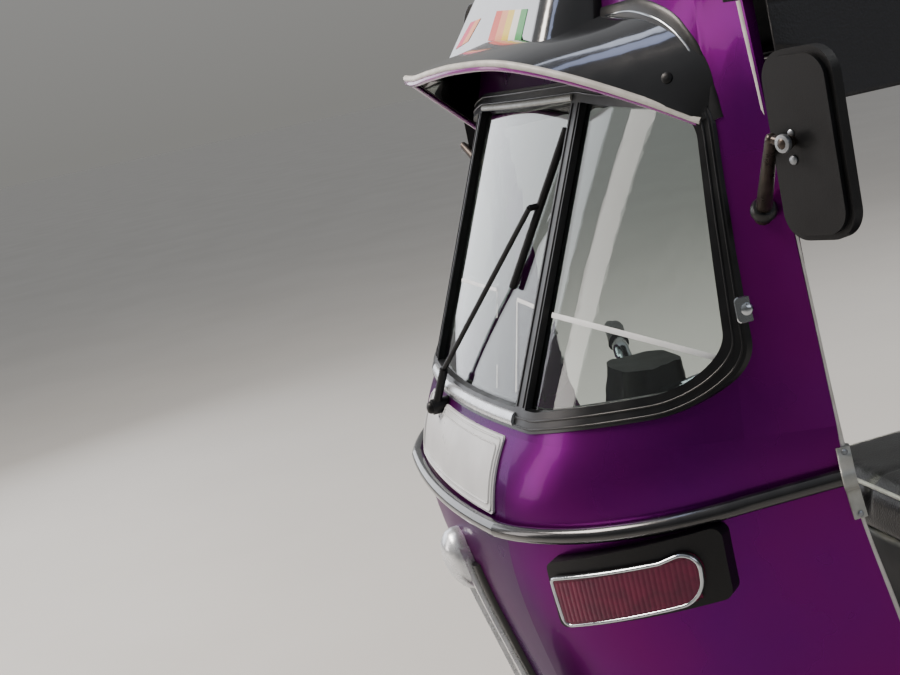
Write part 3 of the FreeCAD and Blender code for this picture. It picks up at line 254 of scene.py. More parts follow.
def mesh_points(mesh):
    """Places of a mesh's vertices, one (x, y, z) row each."""
    points = np.empty(len(mesh.vertices) * 3)
    mesh.vertices.foreach_get("co", points)
    return points.reshape(-1, 3)


def triangles(obj):
    """Corner points of an object's triangles, as one array kept for the next call."""
    if obj.name not in FOUND:
        mesh = obj.data
        mesh.calc_loop_triangles()
        corners = np.empty(len(mesh.loop_triangles) * 3, np.int32)
        mesh.loop_triangles.foreach_get("vertices", corners)
        FOUND[obj.name] = mesh_points(mesh)[corners].reshape(-1, 3, 3)
    return FOUND[obj.name]


# %% Rays against triangles
# share of an edge by which a ray may pass a triangle and still count
EDGE_SLACK = 1e-6
RAYS_AT_ONCE = 100
# a direction that no ray and no turned part here runs along
NEARLY_UP = np.array([0.013, 0.007, 1.0])


def facing(starts, d, tri):
    """The triangles that face the rays and whose boxes, seen along them, meet the box of all the rays."""
    mean = unit(d.mean(0))
    across = unit(np.cross(mean, NEARLY_UP))
    basis = np.stack([across, np.cross(across, mean)], 1)
    depth = tri @ mean
    ends = [starts + d * ((k - starts @ mean) / (d @ mean))[:, None] for k in (depth.min(), depth.max())]
    reach = np.concatenate(ends) @ basis
    flat = tri @ basis
    near = (flat.max(1) >= reach.min(0)).all(1) & (flat.min(1) <= reach.max(0)).all(1)
    tri = tri[near]
    face = np.cross(tri[:, 1] - tri[:, 0], tri[:, 2] - tri[:, 0])
    front = face @ mean < 0
    return tri[front], unit(face[front])


def cast(starts, directions, obj):
    """First points where rays meet an object, with the normals there. Each ray is solved against each triangle
    for its two edge shares and its distance. A ray that misses takes the distance of its nearest neighbour
    that hit."""
    shape = np.shape(starts)
    starts = np.reshape(starts, (-1, 3)).astype(float)
    d = unit(np.broadcast_to(directions, shape).reshape(-1, 3).astype(float))
    tri, face = facing(starts, d, triangles(obj))
    a, e1, e2 = tri[:, 0], tri[:, 1] - tri[:, 0], tri[:, 2] - tri[:, 0]
    far = np.full(len(starts), np.inf)
    which = np.zeros(len(starts), int)
    for k in range(0, len(starts), RAYS_AT_ONCE):
        batch = slice(k, k + RAYS_AT_ONCE)
        ray = d[batch, None]
        p = np.cross(ray, e2[None])
        with np.errstate(divide="ignore", invalid="ignore"):
            det = (e1 * p).sum(-1)
            s = starts[batch, None] - a
            u = (s * p).sum(-1) / det
            q = np.cross(s, e1[None])
            v = (ray * q).sum(-1) / det
            t = (e2 * q).sum(-1) / det
        inside = (u >= -EDGE_SLACK) & (v >= -EDGE_SLACK) & (u + v <= 1 + EDGE_SLACK)
        t = np.where(inside & (t > 0), t, np.inf)
        which[batch] = t.argmin(1)
        far[batch] = t.min(1)
    hit = np.flatnonzero(np.isfinite(far))
    if not len(hit):
        raise ValueError("no ray meets " + obj.name)
    if len(hit) < len(far):
        nearest = hit[np.abs(np.arange(len(far))[:, None] - hit[None]).argmin(1)]
        print("  rays that missed", obj.name, len(far) - len(hit), "of", len(far))
        far, which = far[nearest], which[nearest]
    return (starts + d * far[:, None]).reshape(shape), face[which].reshape(shape)


# %% Points found on a piece
# planes that lie before and behind the whole vehicle
AHEAD_Y, BEHIND_Y = AXLE_Y - 1.0, AXLE_Y + 2.8


def along_vehicle(pairs, node, start_y, direction):
    """Points and normals of a node where rays along the vehicle meet it at (x, z) pairs, in millimetres."""
    pairs = np.asarray(pairs, float)
    starts = np.stack([pairs[..., 0] * MM, np.full(pairs.shape[:-1], start_y), pairs[..., 1] * MM], -1)
    return cast(starts, direction, NODES[node])


def from_front(pairs, node):
    """The same, with rays that start before the vehicle and run back."""
    return along_vehicle(pairs, node, AHEAD_Y, BACK)


def from_behind(pairs, node):
    """The same, with rays that start behind it and run forwards."""
    return along_vehicle(pairs, node, BEHIND_Y, -BACK)


def in_picture(pixels, node):
    """Points on a node, or on another object, that show at these pixels of the 900 x 675 picture."""
    px = np.asarray(pixels, float)
    offset = (px - np.array(PICTURE_PX) / 2) / FOCAL_PX
    rays = FORWARD + offset[..., :1] * RIGHT - offset[..., 1:] * UP
    return cast(np.broadcast_to(CAMERA_AT, rays.shape), rays, NODES[node] if isinstance(node, str) else node)


def eased(normals, closed=False):
    """Normals along a path, each averaged with two neighbours on either side."""
    if closed:
        return unit(sum(np.roll(normals, k, 0) for k in range(-2, 3)))
    held = np.concatenate([normals[:1]] * 2 + [normals] + [normals[-1:]] * 2)
    return unit(sum(held[k:k + len(normals)] for k in range(5)))


def strip(found, *dome, closed=False):
    """A crowned strip on a piece, along the points and normals found there; dome is its profile's sizes."""
    line, normals = found
    return sweep(line, eased(normals, closed), dome_profile(*dome), closed)


# %% Pieces from parts
def outward(points, faces):
    """Turns a closed part's faces outwards: the sum of the volumes under its faces has to be positive."""
    volume = 0.0
    for size in {len(f) for f in faces}:
        index = np.array([f for f in faces if len(f) == size])
        corner = points[index]
        for k in range(1, size - 1):
            volume += np.einsum("ij,ij->i", corner[:, 0], np.cross(corner[:, k], corner[:, k + 1])).sum()
    return faces if volume > 0 else [f[::-1] for f in faces]


def mirrored(parts):
    """The same parts on the other side of the vehicle, after the given ones."""
    flip = np.array([-1.0, 1.0, 1.0])
    return list(parts) + [(p[0] * flip, *p[1:]) for p in parts]


def smooth_mesh(name, points, faces, materials, sharp):
    """A mesh that is shaded smooth, apart from edges that turn by more than a number of degrees."""
    mesh = bpy.data.meshes.new(name)
    mesh.from_pydata(points.tolist(), [], faces)
    for m in materials:
        mesh.materials.append(m)
    mesh.shade_smooth()
    mesh.set_sharp_from_angle(angle=radians(sharp))
    return mesh


def piece(name, parts, materials, body="root", sharp=38.0):
    """One object at the origin from closed parts (points, faces, material number), riding on a body. Each part's
    material number picks one of the given materials."""
    points, faces, paint, start = [], [], [], 0
    for part in parts:
        turned = outward(part[0], part[1])
        points.append(part[0])
        faces += [[k + start for k in f] for f in turned]
        paint += [part[2] if len(part) > 2 else 0] * len(turned)
        start += len(part[0])
    mesh = smooth_mesh(name, np.concatenate(points), faces, materials, sharp)
    mesh.polygons.foreach_set("material_index", paint)
    obj = in_scene(name, mesh)
    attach(obj, body)
    print("made", name, len(faces), "faces")
    return obj


def stack(levels, centre, out, count=24):
    """Turned part: (height, radius) levels in millimetres about an axis, closed flat at both ends."""
    out = unit(np.asarray(out, float))
    u = unit(np.cross(out, NEARLY_UP))
    v = np.cross(out, u)
    ring = circle(count) @ np.stack([u, v])
    h = np.array(levels, float) * MM
    return capped(centre + h[:, None, :1] * out + h[:, None, 1:] * ring[None])


# %% [markdown]
# ## Finishes
# Each finish starts from what the surface is and how it was made. Nearly all wander a little between two tones,
# change their gloss in the same patches and carry a fine relief, so one function lays that down and each finish
# states its colours, its scale in millimetres and its gloss. Dust lies on what faces up. A painted image would
# suit one side only, while patterns worked out from Object coordinates hold from every side.

# %% Colours and nodes
def srgb(code):
    """An sRGB hex colour as linear light, by undoing the curve of each channel."""
    c = np.array([int(code[i:i + 2], 16) for i in (0, 2, 4)]) / 255
    linear = np.where(c <= 0.04045, c / 12.92, ((c + 0.055) / 1.055) ** 2.4)
    return (*linear.tolist(), 1.0)


def add(tree, kind, sockets, **settings):
    """Adds one node: its settings first, then its sockets, each a plain value or another node's output."""
    n = tree.nodes.new(kind)
    for key, value in settings.items():
        setattr(n, key, value)
    for key, value in sockets.items():
        if isinstance(value, bpy.types.NodeSocket):
            tree.links.new(value, n.inputs[key])
        else:
            n.inputs[key].default_value = value
    return n


# %% One function for a finish
DUST = "a79f92"
PEBBLES = "ShaderNodeTexVoronoi"


def finish(name, tones, patch, gloss, grain=(1.0, 0.0), relief="ShaderNodeTexNoise", dust=0.0, **shine):
    """A finish on Object coordinates. tones: two hex colours; patch: size of their patches in mm; gloss: least
    and most roughness; grain: spacing and depth of the relief in mm; dust: share that settles on top."""
    mat = bpy.data.materials.new(name)
    mat.use_nodes = True
    tree = mat.node_tree
    shader = tree.nodes["Principled BSDF"]
    for key, value in shine.items():
        shader.inputs[key.replace("_", " ")].default_value = value
    place = add(tree, "ShaderNodeTexCoord", {}).outputs["Object"]
    patches = add(tree, "ShaderNodeTexNoise", {"Vector": place, "Scale": 1 / (patch * MM), "Detail": 4.0})
    share = add(tree, "ShaderNodeMapRange", {"Value": patches.outputs["Fac"], "From Min": 0.3, "From Max": 0.7})
    colour = add(tree, "ShaderNodeMix", {0: share.outputs[0], 6: srgb(tones[0]), 7: srgb(tones[1])},
                 data_type="RGBA")
    shown = colour.outputs[2]
    if dust:
        facing_up = add(tree, "ShaderNodeSeparateXYZ",
                        {0: add(tree, "ShaderNodeNewGeometry", {}).outputs["Normal"]}).outputs[2]
        settled = add(tree, "ShaderNodeMapRange", {"Value": facing_up, "From Min": 0.1, "From Max": 1.0,
                                                   "To Max": dust})
        amount = add(tree, "ShaderNodeMath", {0: settled.outputs[0], 1: share.outputs[0]}, operation="MULTIPLY")
        shown = add(tree, "ShaderNodeMix", {0: amount.outputs[0], 6: shown, 7: srgb(DUST)},
                    data_type="RGBA").outputs[2]
    tree.links.new(shown, shader.inputs["Base Color"])
    rough = add(tree, "ShaderNodeMapRange", {"Value": share.outputs[0], "To Min": gloss[0], "To Max": gloss[1]})
    tree.links.new(rough.outputs[0], shader.inputs["Roughness"])
    if grain[1]:
        texture = add(tree, relief, {"Vector": place, "Scale": 1 / (grain[0] * MM)})
        bump = add(tree, "ShaderNodeBump", {"Height": texture.outputs[0], "Distance": grain[1] * MM,
                                            "Strength": 1.0})
        tree.links.new(bump.outputs[0], shader.inputs["Normal"])
    return mat


# %% [markdown]
# ### Candy paint and blacks
# Candy enamel is a metallic base under tinted clear coats. It looks deep and dark where it mirrors something
# dark and glows magenta where the light comes back. A mostly metallic base whose mirror light is tinted violet,
# under a thin clear coat, gives both, and slow waves in its relief stand for the hand-beaten sheet under it.
# The blacks differ in gloss alone: moulded plastic, powder coat, stoved enamel and extruded rubber.

# %% Paint and blacks
# deep violet that turns magenta in the light, with the slow waves of beaten sheet
PAINT = finish("candy_violet_enamel", ("5c0068", "6c0064"), 260, (0.24, 0.34), (190, 1.2), dust=0.01,
               Metallic=0.75, Specular_Tint=srgb("6c1482"), Coat_Weight=0.14, Coat_Roughness=0.05,
               Coat_IOR=1.42)
# the body's violet on the visor lip's edge, brighter and without metal: real paint, with a painted highlight in
# its brighter tone
EDGE_PAINT_AND_HIGHLIGHT = finish("violet_edge_enamel_painted_highlight", ("7a0b7c", "8c0f86"), 60, (0.2, 0.3), Coat_Weight=1.0,
                    Coat_Roughness=0.05)
# baked paint on the chassis, dulled by road dust
UNDER_PAINT = finish("stoved_chassis_black", ("17171a", "26262a"), 60, (0.5, 0.7), (3, 0.15), dust=0.35)
# moulding with a polished skin: sharp streaks, slightly bent by its waves
GLOSS_BLACK = finish("moulded_gloss_black_visor", ("08090b", "0e0f13"), 90, (0.10, 0.20), (70, 0.9), dust=0.02,
                     Coat_Weight=1.0, Coat_Roughness=0.04)
# moulding from a grained tool: soft broad highlights
SATIN_BLACK = finish("moulded_satin_black_plastic", ("0b0c0e", "121315"), 40, (0.38, 0.50), (1.6, 0.10),
                     dust=0.015, Specular_IOR_Level=0.3)
# powder melted on to tube: an even gloss with a slight orange peel
TUBE_BLACK = finish("powder_coated_black_tube", ("0c0d10", "131417"), 35, (0.18, 0.28), (2.4, 0.05), dust=0.02,
                    Coat_Weight=0.8, Coat_Roughness=0.08)
# rubber from a die: dark, with a dull sheen along its length
RUBBER_BLACK = finish("extruded_black_rubber", ("08090b", "101114"), 25, (0.28, 0.38), (1.2, 0.03), dust=0.01,
                      Specular_IOR_Level=0.45)
print("paints and blacks ready")


# %% [markdown]
# ### Metals
# Chrome plate and polished trim are mirrors with a little haze. Pressed steel wheels are sprayed silver, and
# the castings underneath are grey and rough. A metal keeps the default IOR.

# %% Metals
# plated steel: a clear mirror, faintly rippled
CHROME = finish("chrome_plated_steel", ("c9ced2", "b3b8bd"), 30, (0.07, 0.18), (60, 0.2), Metallic=1.0)
# buffed strip: bright, with its highlights spread a little
BRIGHT_STRIP = finish("polished_aluminium_strip", ("e4e7ea", "d3d7db"), 20, (0.20, 0.32), (60, 0.1),
                      Metallic=0.7)
# anodised section: pale grey and nearly matt
GREY_RAIL = finish("anodised_grey_rail", ("a9aba7", "979994"), 14, (0.40, 0.52), (1.6, 0.03), Metallic=0.35)
# brushed fittings: grey metal with a soft shine
ALUMINIUM = finish("brushed_aluminium_trim", ("a4a8ac", "8b8f93"), 12, (0.30, 0.45), (2.0, 0.04), Metallic=0.9)
# sprayed steel: a flat silver that dust takes the edge off
WHEEL_SILVER = finish("sprayed_silver_steel", ("8d9094", "75787c"), 45, (0.35, 0.5), (2.5, 0.10), dust=0.35,
                      Metallic=0.6)
# casting from a sand mould: grey, pitted and dusty
CAST_METAL = finish("sand_cast_aluminium", ("6f7174", "54565a"), 18, (0.45, 0.65), (2.2, 0.35), dust=0.4,
                    Metallic=0.7)
# steel browned by heat, nearly matt
EXHAUST = finish("heat_stained_steel", ("5b4a40", "3a3632"), 22, (0.5, 0.75), (3.0, 0.3), dust=0.3,
                 Metallic=0.5)
# tube with a dark plating that has gone brownish
BRONZE_TUBE = finish("dark_plated_steel_tube", ("3b3430", "4f4741"), 14, (0.25, 0.38), (1.5, 0.05),
                     Metallic=0.8)
print("metals ready")


# %% [markdown]
# ### Clear pieces
# Glass is a smooth, clear solid. A thin see-through sheet would lose its double mirror image, so the panes bend
# light as solids do. Light from lamps has to reach the cabin behind them, so for shadow rays the shader changes
# places with a plain transparent one. Lamp lenses are dyed acrylic.

# %% Glass and lenses
def clear_piece(name, tint, pale, roughness=0.0):
    """Glass of a tint, which lets lamps through: shadow rays see a transparent shader instead."""
    mat = bpy.data.materials.new(name)
    mat.use_nodes = True
    tree = mat.node_tree
    glass = tree.nodes["Principled BSDF"]
    glass.inputs["Base Color"].default_value = srgb(tint)
    glass.inputs["Transmission Weight"].default_value = 1.0
    glass.inputs["Roughness"].default_value = roughness
    glass.inputs["IOR"].default_value = 1.5
    open_to_light = add(tree, "ShaderNodeBsdfTransparent", {"Color": srgb(pale)})
    shadow = add(tree, "ShaderNodeLightPath", {}).outputs["Is Shadow Ray"]
    mix = add(tree, "ShaderNodeMixShader", {0: shadow, 1: glass.outputs[0], 2: open_to_light.outputs[0]})
    tree.links.new(mix.outputs[0], tree.nodes["Material Output"].inputs["Surface"])
    return mat


# float glass, tempered: clear with a faint green-grey cast
GLASS = clear_piece("toughened_screen_glass", "d4ddd8", "dde6e1")
# pressed glass: clear, with a slightly uneven skin
LAMP_GLASS = clear_piece("pressed_lamp_glass", "f4f6f4", "eef0ee", 0.02)
# dyed acrylic, unlit: a deep raspberry for the side lamps and a pure dark red behind
RED_LENS = finish("dyed_red_acrylic", ("6c0236", "54022e"), 20, (0.16, 0.26), (40, 0.1),
                  Specular_IOR_Level=0.3, Coat_Weight=0.2, Coat_Roughness=0.06)
TAIL_LENS = finish("dyed_tail_acrylic", ("8c0f14", "6e0a10"), 20, (0.08, 0.18), (40, 0.1), Coat_Weight=0.6,
                   Coat_Roughness=0.04)
# silver behind glass: a true mirror
MIRROR_GLASS = finish("silvered_mirror_glass", ("d6dadd", "cfd3d6"), 80, (0.01, 0.03), Metallic=1.0)
print("clear pieces ready")


# %% [markdown]
# ### Vinyl, tyres and a blank plate
# Coated cloth has a pebble grain of about a millimetre, drawn coarser so that it shows. Tyres are matt and
# dusty. The plate is white enamel on pressed aluminium and stays blank.

# %% Soft finishes
# embossed vinyl on foam: black pebbles with a soft shine
SEAT_VINYL = finish("grained_black_seat_vinyl", ("0d0d0f", "161618"), 50, (0.30, 0.44), (3.0, 0.45), PEBBLES,
                    dust=0.03, Specular_IOR_Level=0.4)
# cloth coated with vinyl: greyer, flatter and dusty on top
HOOD_VINYL = finish("coated_hood_cloth", ("17181b", "202125"), 260, (0.42, 0.6), (2.6, 0.35), PEBBLES,
                    dust=0.12)
# extruded piping, gone a little cream
WELT_WHITE = finish("white_vinyl_welt", ("d9d7d0", "bdbab2"), 18, (0.35, 0.5), (1.5, 0.05))
# vulcanised rubber: matt, greyed by road dust
TYRE_RUBBER = finish("moulded_tyre_rubber", ("19191a", "262627"), 30, (0.55, 0.75), (1.5, 0.2), dust=0.55)
# moulded mat, trodden dull
MAT_RUBBER = finish("ribbed_floor_rubber", ("1b1b1d", "29292b"), 80, (0.5, 0.7), (2.0, 0.2), dust=0.4)
# stoved enamel: white and smooth
PLATE_WHITE = finish("enamelled_pressed_plate", ("d3d5d6", "c2c4c6"), 60, (0.25, 0.4), (30, 0.15), dust=0.1)
# cut film, printed white
LINE_WHITE = finish("white_film_on_glass", ("e6e8e8", "d5d8d9"), 30, (0.35, 0.5))
print("soft finishes ready")


# %% [markdown]
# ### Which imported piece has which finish
# Pieces that were painted, moulded or plated alike share a finish. Their meshes stay as they are: only the
# material in each slot changes, so a table of finishes and pieces is all that this step needs.

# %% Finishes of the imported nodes
COATED = [(PAINT, "cowl mudguard tub engine_lid"), (GLOSS_BLACK, "visor nose_spine"),
          (UNDER_PAINT, "floor_pan fork front_link seat_box rear_arms rear_shocks half_shafts"),
          (RUBBER_BLACK, "screen_rubber grips front_tyre left_tyre right_tyre"),
          (SATIN_BLACK, "side_lamps mirror_shells bar_head wiper headlamp"),
          (TUBE_BLACK, "nose_rail hood_frame bumper"), (WHEEL_SILVER, "front_wheel left_wheel right_wheel"),
          (GLASS, "centre_pane side_panes"), (LAMP_GLASS, "headlamp_lens"), (RED_LENS, "side_lenses"),
          (TAIL_LENS, "rear_lamps"), (MIRROR_GLASS, "mirror_glass"), (BRONZE_TUBE, "mirror_arms"),
          (BRIGHT_STRIP, "spine_strip"), (CHROME, "handlebar"), (PLATE_WHITE, "front_plate"),
          (CAST_METAL, "engine"), (EXHAUST, "silencer"), (SEAT_VINYL, "driver_seat bench_seat bench_back"),
          (HOOD_VINYL, "canopy")]


def coat(node, mat):
    """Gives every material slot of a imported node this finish."""
    data = NODES[node].data
    if not data.materials:
        data.materials.append(mat)
    for k in range(len(data.materials)):
        data.materials[k] = mat


for mat, nodes in COATED:
    for node in nodes.split():
        coat(node, mat)
print("packed nodes finished")


# %% [markdown]
# ## Screen trim
# The black seal has two fine beads pressed into it all the way round, each upright has two more, a bright
# strip closes it under the centre pane and a grey one over it. They could be cut into the seal's solid, but a
# small profile swept along the opening's outline, on the seal itself, needs fewer faces.

# %% Seal beads and bright strips
# x, z, corner radius, and how much of a growth goes to x and to z
SCREEN = [(250.0, 1088.0, 60.0, 0.0, -1.0), (460.0, 1118.0, 62.0, 0.62, -1.0), (427.0, 1436.0, 50.0, 0.62, 1.0),
          (212.0, 1462.0, 60.0, 0.0, 1.0)]
UPRIGHT_X, UPRIGHT_LOW, UPRIGHT_HIGH = 214.0, 1106.0, 1444.0
SEAL_BEAD = (2.6, 1.3)
BEAD_GROWTHS = (3.5, -6.0)
BEAD_FROM_UPRIGHT = 8.0


def screen_line(grow, step=6.0):
    """The opening's outline moved out over the panel by a distance, as (x, z) pairs."""
    left = [(x + gx * grow, z + gz * grow, r + grow / 2) for x, z, r, gx, gz in SCREEN]
    return outline(left + [(-x, z, r) for x, z, r in left[::-1]], step)


def screen_run(grow, low, high, half):
    """The stretch of that line between two heights and inside a half width, in order of x."""
    line = screen_line(grow)
    line = line[(line[:, 1] > low) & (line[:, 1] < high) & (np.abs(line[:, 0]) < half)]
    return line[np.argsort(line[:, 0])]


beads = [strip(from_front(screen_line(grow), "screen_rubber"), *SEAL_BEAD, closed=True)
         for grow in BEAD_GROWTHS]
for x in (UPRIGHT_X - BEAD_FROM_UPRIGHT, UPRIGHT_X + BEAD_FROM_UPRIGHT):
    pairs = np.stack([np.full(60, x), np.linspace(UPRIGHT_LOW, UPRIGHT_HIGH, 60)], 1)
    beads += mirrored([strip(from_front(pairs, "screen_rubber"), *SEAL_BEAD)])
piece("seal_beads", beads, [RUBBER_BLACK])

# growth, lowest and highest z, half width, width and height of the profile, material
BRIGHT_RUNS = [(-3.0, 1000, 1150, UPRIGHT_X - 6, 17.0, 4.5, 0),
               (-11.0, 1400, 1500, UPRIGHT_X - 12, 9.0, 2.6, 1)]
bright = [(*strip(from_front(screen_run(grow, low, high, half), "screen_rubber"), width, height), kind)
          for grow, low, high, half, width, height, kind in BRIGHT_RUNS]
piece("screen_bright_strips", bright, [BRIGHT_STRIP, GREY_RAIL])


# %% [markdown]
# ## Lines on the glass
# Thin white film lines are stuck on the panes. They could be painted by the glass's own shader, but that would
# put them inside the pane. They are read off the picture as pixels, and each pixel's ray is followed to the
# pane, so the line lies on the glass.

# %% Pin lines
# pane, pixel where the line starts, pixel where it ends, width in millimetres; the far side repeats the third
GLASS_LINES = [("centre_pane", (462, 280), (496.5, 290), 5.0),
               ("centre_pane", (517, 299.5), (536.7, 307.8), 5.0),
               ("side_panes", (552, 315), (732, 362), 6.5), ("centre_pane", (517, 301), (516, 392), 3.0),
               ("centre_pane", (497, 290), (497, 318), 2.0), ("centre_pane", (497, 365), (497, 388), 2.0)]
FILM_THICK = 0.35
share = np.linspace(0, 1, 40)[:, None]
lines = [strip(in_picture(np.array(first) * (1 - share) + np.array(last) * share, pane), width, FILM_THICK,
               0.1, 5)
         for pane, first, last, width in GLASS_LINES]
piece("glass_lines", lines + mirrored(lines[2:3])[1:], [LINE_WHITE])


# %% [markdown]
# ## Visor trim
# The moulded visor has a white welt clipped along its lip with a thin violet edge under it, a bright line in
# the black band where it meets the roof, and a few common coloured stripes on the hump over its middle. The
# lip bends every way at once, so a smooth line through a few points of its half carries a round profile, and
# the other half repeats it. Band, line and stripes are found on the panels, through the picture's own pixels.

# %% Visor welt and edge
VISOR_CENTRE_Z = 1300.0
# degrees from upright, radius at the lip, y of the lip
VISOR_LIP = [(76, 440, 248), (70, 408, 205), (60, 359, 150), (48, 310, 105), (34, 260, 77), (17, 225, 61),
             (0, 213, 57)]


def visor_edge(inset_by, back_by, radius):
    """A round edge along the visor's lip, a distance inside it and behind it, all in millimetres. Its line runs
    smoothly through the lip's (angle, radius, y) rows and their mirror images."""
    rows = np.array(VISOR_LIP + [(-a, r, y) for a, r, y in VISOR_LIP[-2::-1]], float)
    turn = np.radians(rows[:, 0])
    from_middle = rows[:, 1] - inset_by
    points = np.stack([np.sin(turn) * from_middle * MM, AXLE_Y + (rows[:, 2] + back_by) * MM,
                       (VISOR_CENTRE_Z + np.cos(turn) * from_middle) * MM], 1)
    line = flowing(points, 8 * MM)
    away = (line - SKYWARD * VISOR_CENTRE_Z * MM) * (1 - BACK)
    return sweep(line, unit(away), round_profile(radius))


piece("visor_welt", [visor_edge(2.0, 1.0, 4.2)], [WELT_WHITE])
# the lip's violet edge: its brighter tone is a painted highlight
piece("visor_edge_paint", [visor_edge(8.5, 0.0, 3.8)], [EDGE_PAINT_AND_HIGHLIGHT])

# %% Visor band, its line and the stripes
BAND_PX = [(590, 22), (628, 12), (648, 14), (669, 25), (684, 43), (695, 62), (703, 85), (713, 121)]
BAND_LINE_PX = [(606, 16), (628, 11), (650, 16), (669, 27), (687, 46), (697, 68)]
band = strip(in_picture(flowing(BAND_PX, 5.0), "cowl"), 28.0, 2.6, 1.0)
band = piece("visor_arch_band", mirrored([band]), [RUBBER_BLACK])
band_line = strip(in_picture(flowing(BAND_LINE_PX, 5.0), band), 3.0, 1.4)
piece("visor_band_line", mirrored([band_line]), [CHROME])

STRIPE_TINTS = {"coral": "d8503f", "peach": "e79a72", "yellow": "e6c94a", "white": "e8e6df", "green": "3f9a52",
                "pink": "d8456a"}
# cut film: flat colour with a satin skin
STRIPE_PAINT = [finish("stripe_" + key, (code, code), 60, (0.35, 0.45), Specular_IOR_Level=0.3)
                for key, code in STRIPE_TINTS.items()]
# corners at top left, top right, low right and low left, and the tint of each stripe across: the near set in
# pixels, the far one as x and z seen from the front
STRIPE_SETS = [(in_picture, ((497, 11), (528, 9), (521, 40), (488, 41)), (0, 1, 2, 3, 4)),
               (from_front, ((-138, 1571), (-86, 1572), (-116, 1546), (-176, 1540)), (5, 1))]
STRIPE_HALF_THICK, STRIPE_QUADS = 0.5, 6
stripes = []
for found_by, corners, tints in STRIPE_SETS:
    hit, normals = found_by(bilinear(corners, 8, STRIPE_QUADS * len(tints) + 1), "visor")
    for k, tint in enumerate(tints):
        part = slice(STRIPE_QUADS * k, STRIPE_QUADS * (k + 1) + 1)
        lift = normals[:, part] * STRIPE_HALF_THICK * MM
        stripes.append((*slab(hit[:, part] + lift, hit[:, part] - lift), tint))
piece("hump_stripes", stripes, STRIPE_PAINT)


# %% [markdown]
# ## Door edge, clamps and screws
# A white welt closes the rear edge of the cowl on each side. A grey clamp holds the rail's end on it: hooks
# grip the edge above and below, and a strap between them swells over the rail. A small plated clip holds the
# seal. Bent sheet could be modelled flat and folded; here each section runs along the edge it grips.

# %% Door edge welt
# z, x and y of the cowl's rear edge
DOOR_EDGE = [(300, 488, 385), (430, 492, 377), (560, 495, 366), (690, 498.6, 357.5), (820, 501, 346),
             (960, 504, 316), (1070, 500, 307), (1250, 495.4, 298.8), (1430, 490.8, 290.6),
             (1518, 488.6, 286.6)]
# the way out of the cowl at its door edge
EDGE_FACES = np.array([1.0, 0.2, 0.0])
WELT_RADIUS, WELT_INSIDE, WELT_BEHIND = 5.0, 6.5, 2.0
edge = flowing([at(x - WELT_INSIDE, y + WELT_BEHIND, z) for z, x, y in DOOR_EDGE], 8 * MM)
piece("door_edge_welt", mirrored([sweep(edge, EDGE_FACES, round_profile(WELT_RADIUS))]), [WELT_WHITE])

# %% Rail clamps
# height and radius of a domed screw head
SCREW_HEAD = [(-0.5, 4.5), (0.6, 5.2), (1.6, 5.0), (2.6, 3.8), (3.0, 1.6)]
CLAMP_LOW, CLAMP_HIGH = 0.964, 1.050
HOOK_HALF, STRAP_HALF, STRAP_THICK = 7.5, 8.0, 3.0
HOOK_DEEP, RAIL_END, OVER_RAIL, STRAP_SET = 7.0, 25, 2, 1.5
SHOULDER = 5 * MM
# forward move for each step out, along the line of sight, so that the swell stays where the picture has it
SIGHT_SLOPE = 0.51


def screw(point, normal, size=1.0):
    """A screw's head on a surface: the levels above, scaled, turned about the normal."""
    return stack([(h * size, r * size) for h, r in SCREW_HEAD], point, normal, count=16)


held = resample(edge[(edge[:, 2] > CLAMP_LOW) & (edge[:, 2] < CLAMP_HIGH)], 2.5 * MM)
x, y, z = held.T
rail = triangles(NODES["nose_rail"]).reshape(-1, 3)
tip = rail[(rail[:, 0] > 0) & (rail[:, 1] > rail[:, 1].max() - RAIL_END * MM)]
tip_low, tip_high = tip.min(0), tip.max(0)
# 1 over the rail's end and 0 away from it, with smooth shoulders
over = np.tanh((z - tip_low[2] + SHOULDER) / SHOULDER) - np.tanh((z - tip_high[2] - SHOULDER) / SHOULDER)
over /= 2
rest_x = x + HOOK_DEEP * MM
swell = np.maximum(tip_high[0] + OVER_RAIL * MM - rest_x, 0) * over
strap_line = np.stack([rest_x + swell, y - STRAP_SET * MM - SIGHT_SLOPE * swell, z], 1)
flat = rectangle(STRAP_HALF, -STRAP_THICK / 2, STRAP_THICK / 2, 1, 1.0) * MM
strap = capped(strap_line[:, None] + flat[None, :, :1] * BACK + flat[None, :, 1:] * LEFT)
hook = rectangle(HOOK_HALF, -HOOK_DEEP, HOOK_DEEP, 3, 1.5) * MM
hooks = [sweep(held[(over < 0.05) & part], EDGE_FACES, hook) for part in (z < tip_low[2], z > tip_high[2])]
# one small screw near each end of the strap
bolts = [(*screw(strap_line[k] + LEFT * 1.4 * MM, LEFT, 0.7), 1) for k in (2, -3)]
print("rail end", tip_low.round(4), tip_high.round(4), "strap rows", len(held))
piece("rail_clamps", mirrored(hooks + [strap] + bolts), [GREY_RAIL, ALUMINIUM])

# %% Seal clips and visor screws
CLIP_PX = [(733, 297), (735, 323), (760, 320), (755, 295)]
VISOR_SCREW_PX = (667, 78)
hit, normals = in_picture(bilinear(CLIP_PX, 8, 8), "screen_rubber")
slope = unit(normals.reshape(-1, 3).mean(0))
middle = hit.reshape(-1, 3).mean(0)
across = unit(np.cross(slope, SKYWARD))
rise = np.cross(across, slope)
plate = rectangle(12, -14, 14, 5, 2.0) * MM
# height over the seal and size of each ring, from the back up to the bevelled front
plate_rings = np.stack([middle + plate[:, :1] * s * across + plate[:, 1:] * s * rise + slope * h * MM
                        for h, s in ((-3, 1.0), (4.6, 1.0), (5.6, 0.93), (5.6, 0.6))])
piece("seal_clips", mirrored([capped(plate_rings), screw(middle + slope * 5.4 * MM, slope, 1.3)]), [CHROME])

spot, normal = in_picture([VISOR_SCREW_PX], "visor")
piece("visor_screws", mirrored([screw(spot[0], normal[0], 1.2)]), [SATIN_BLACK])


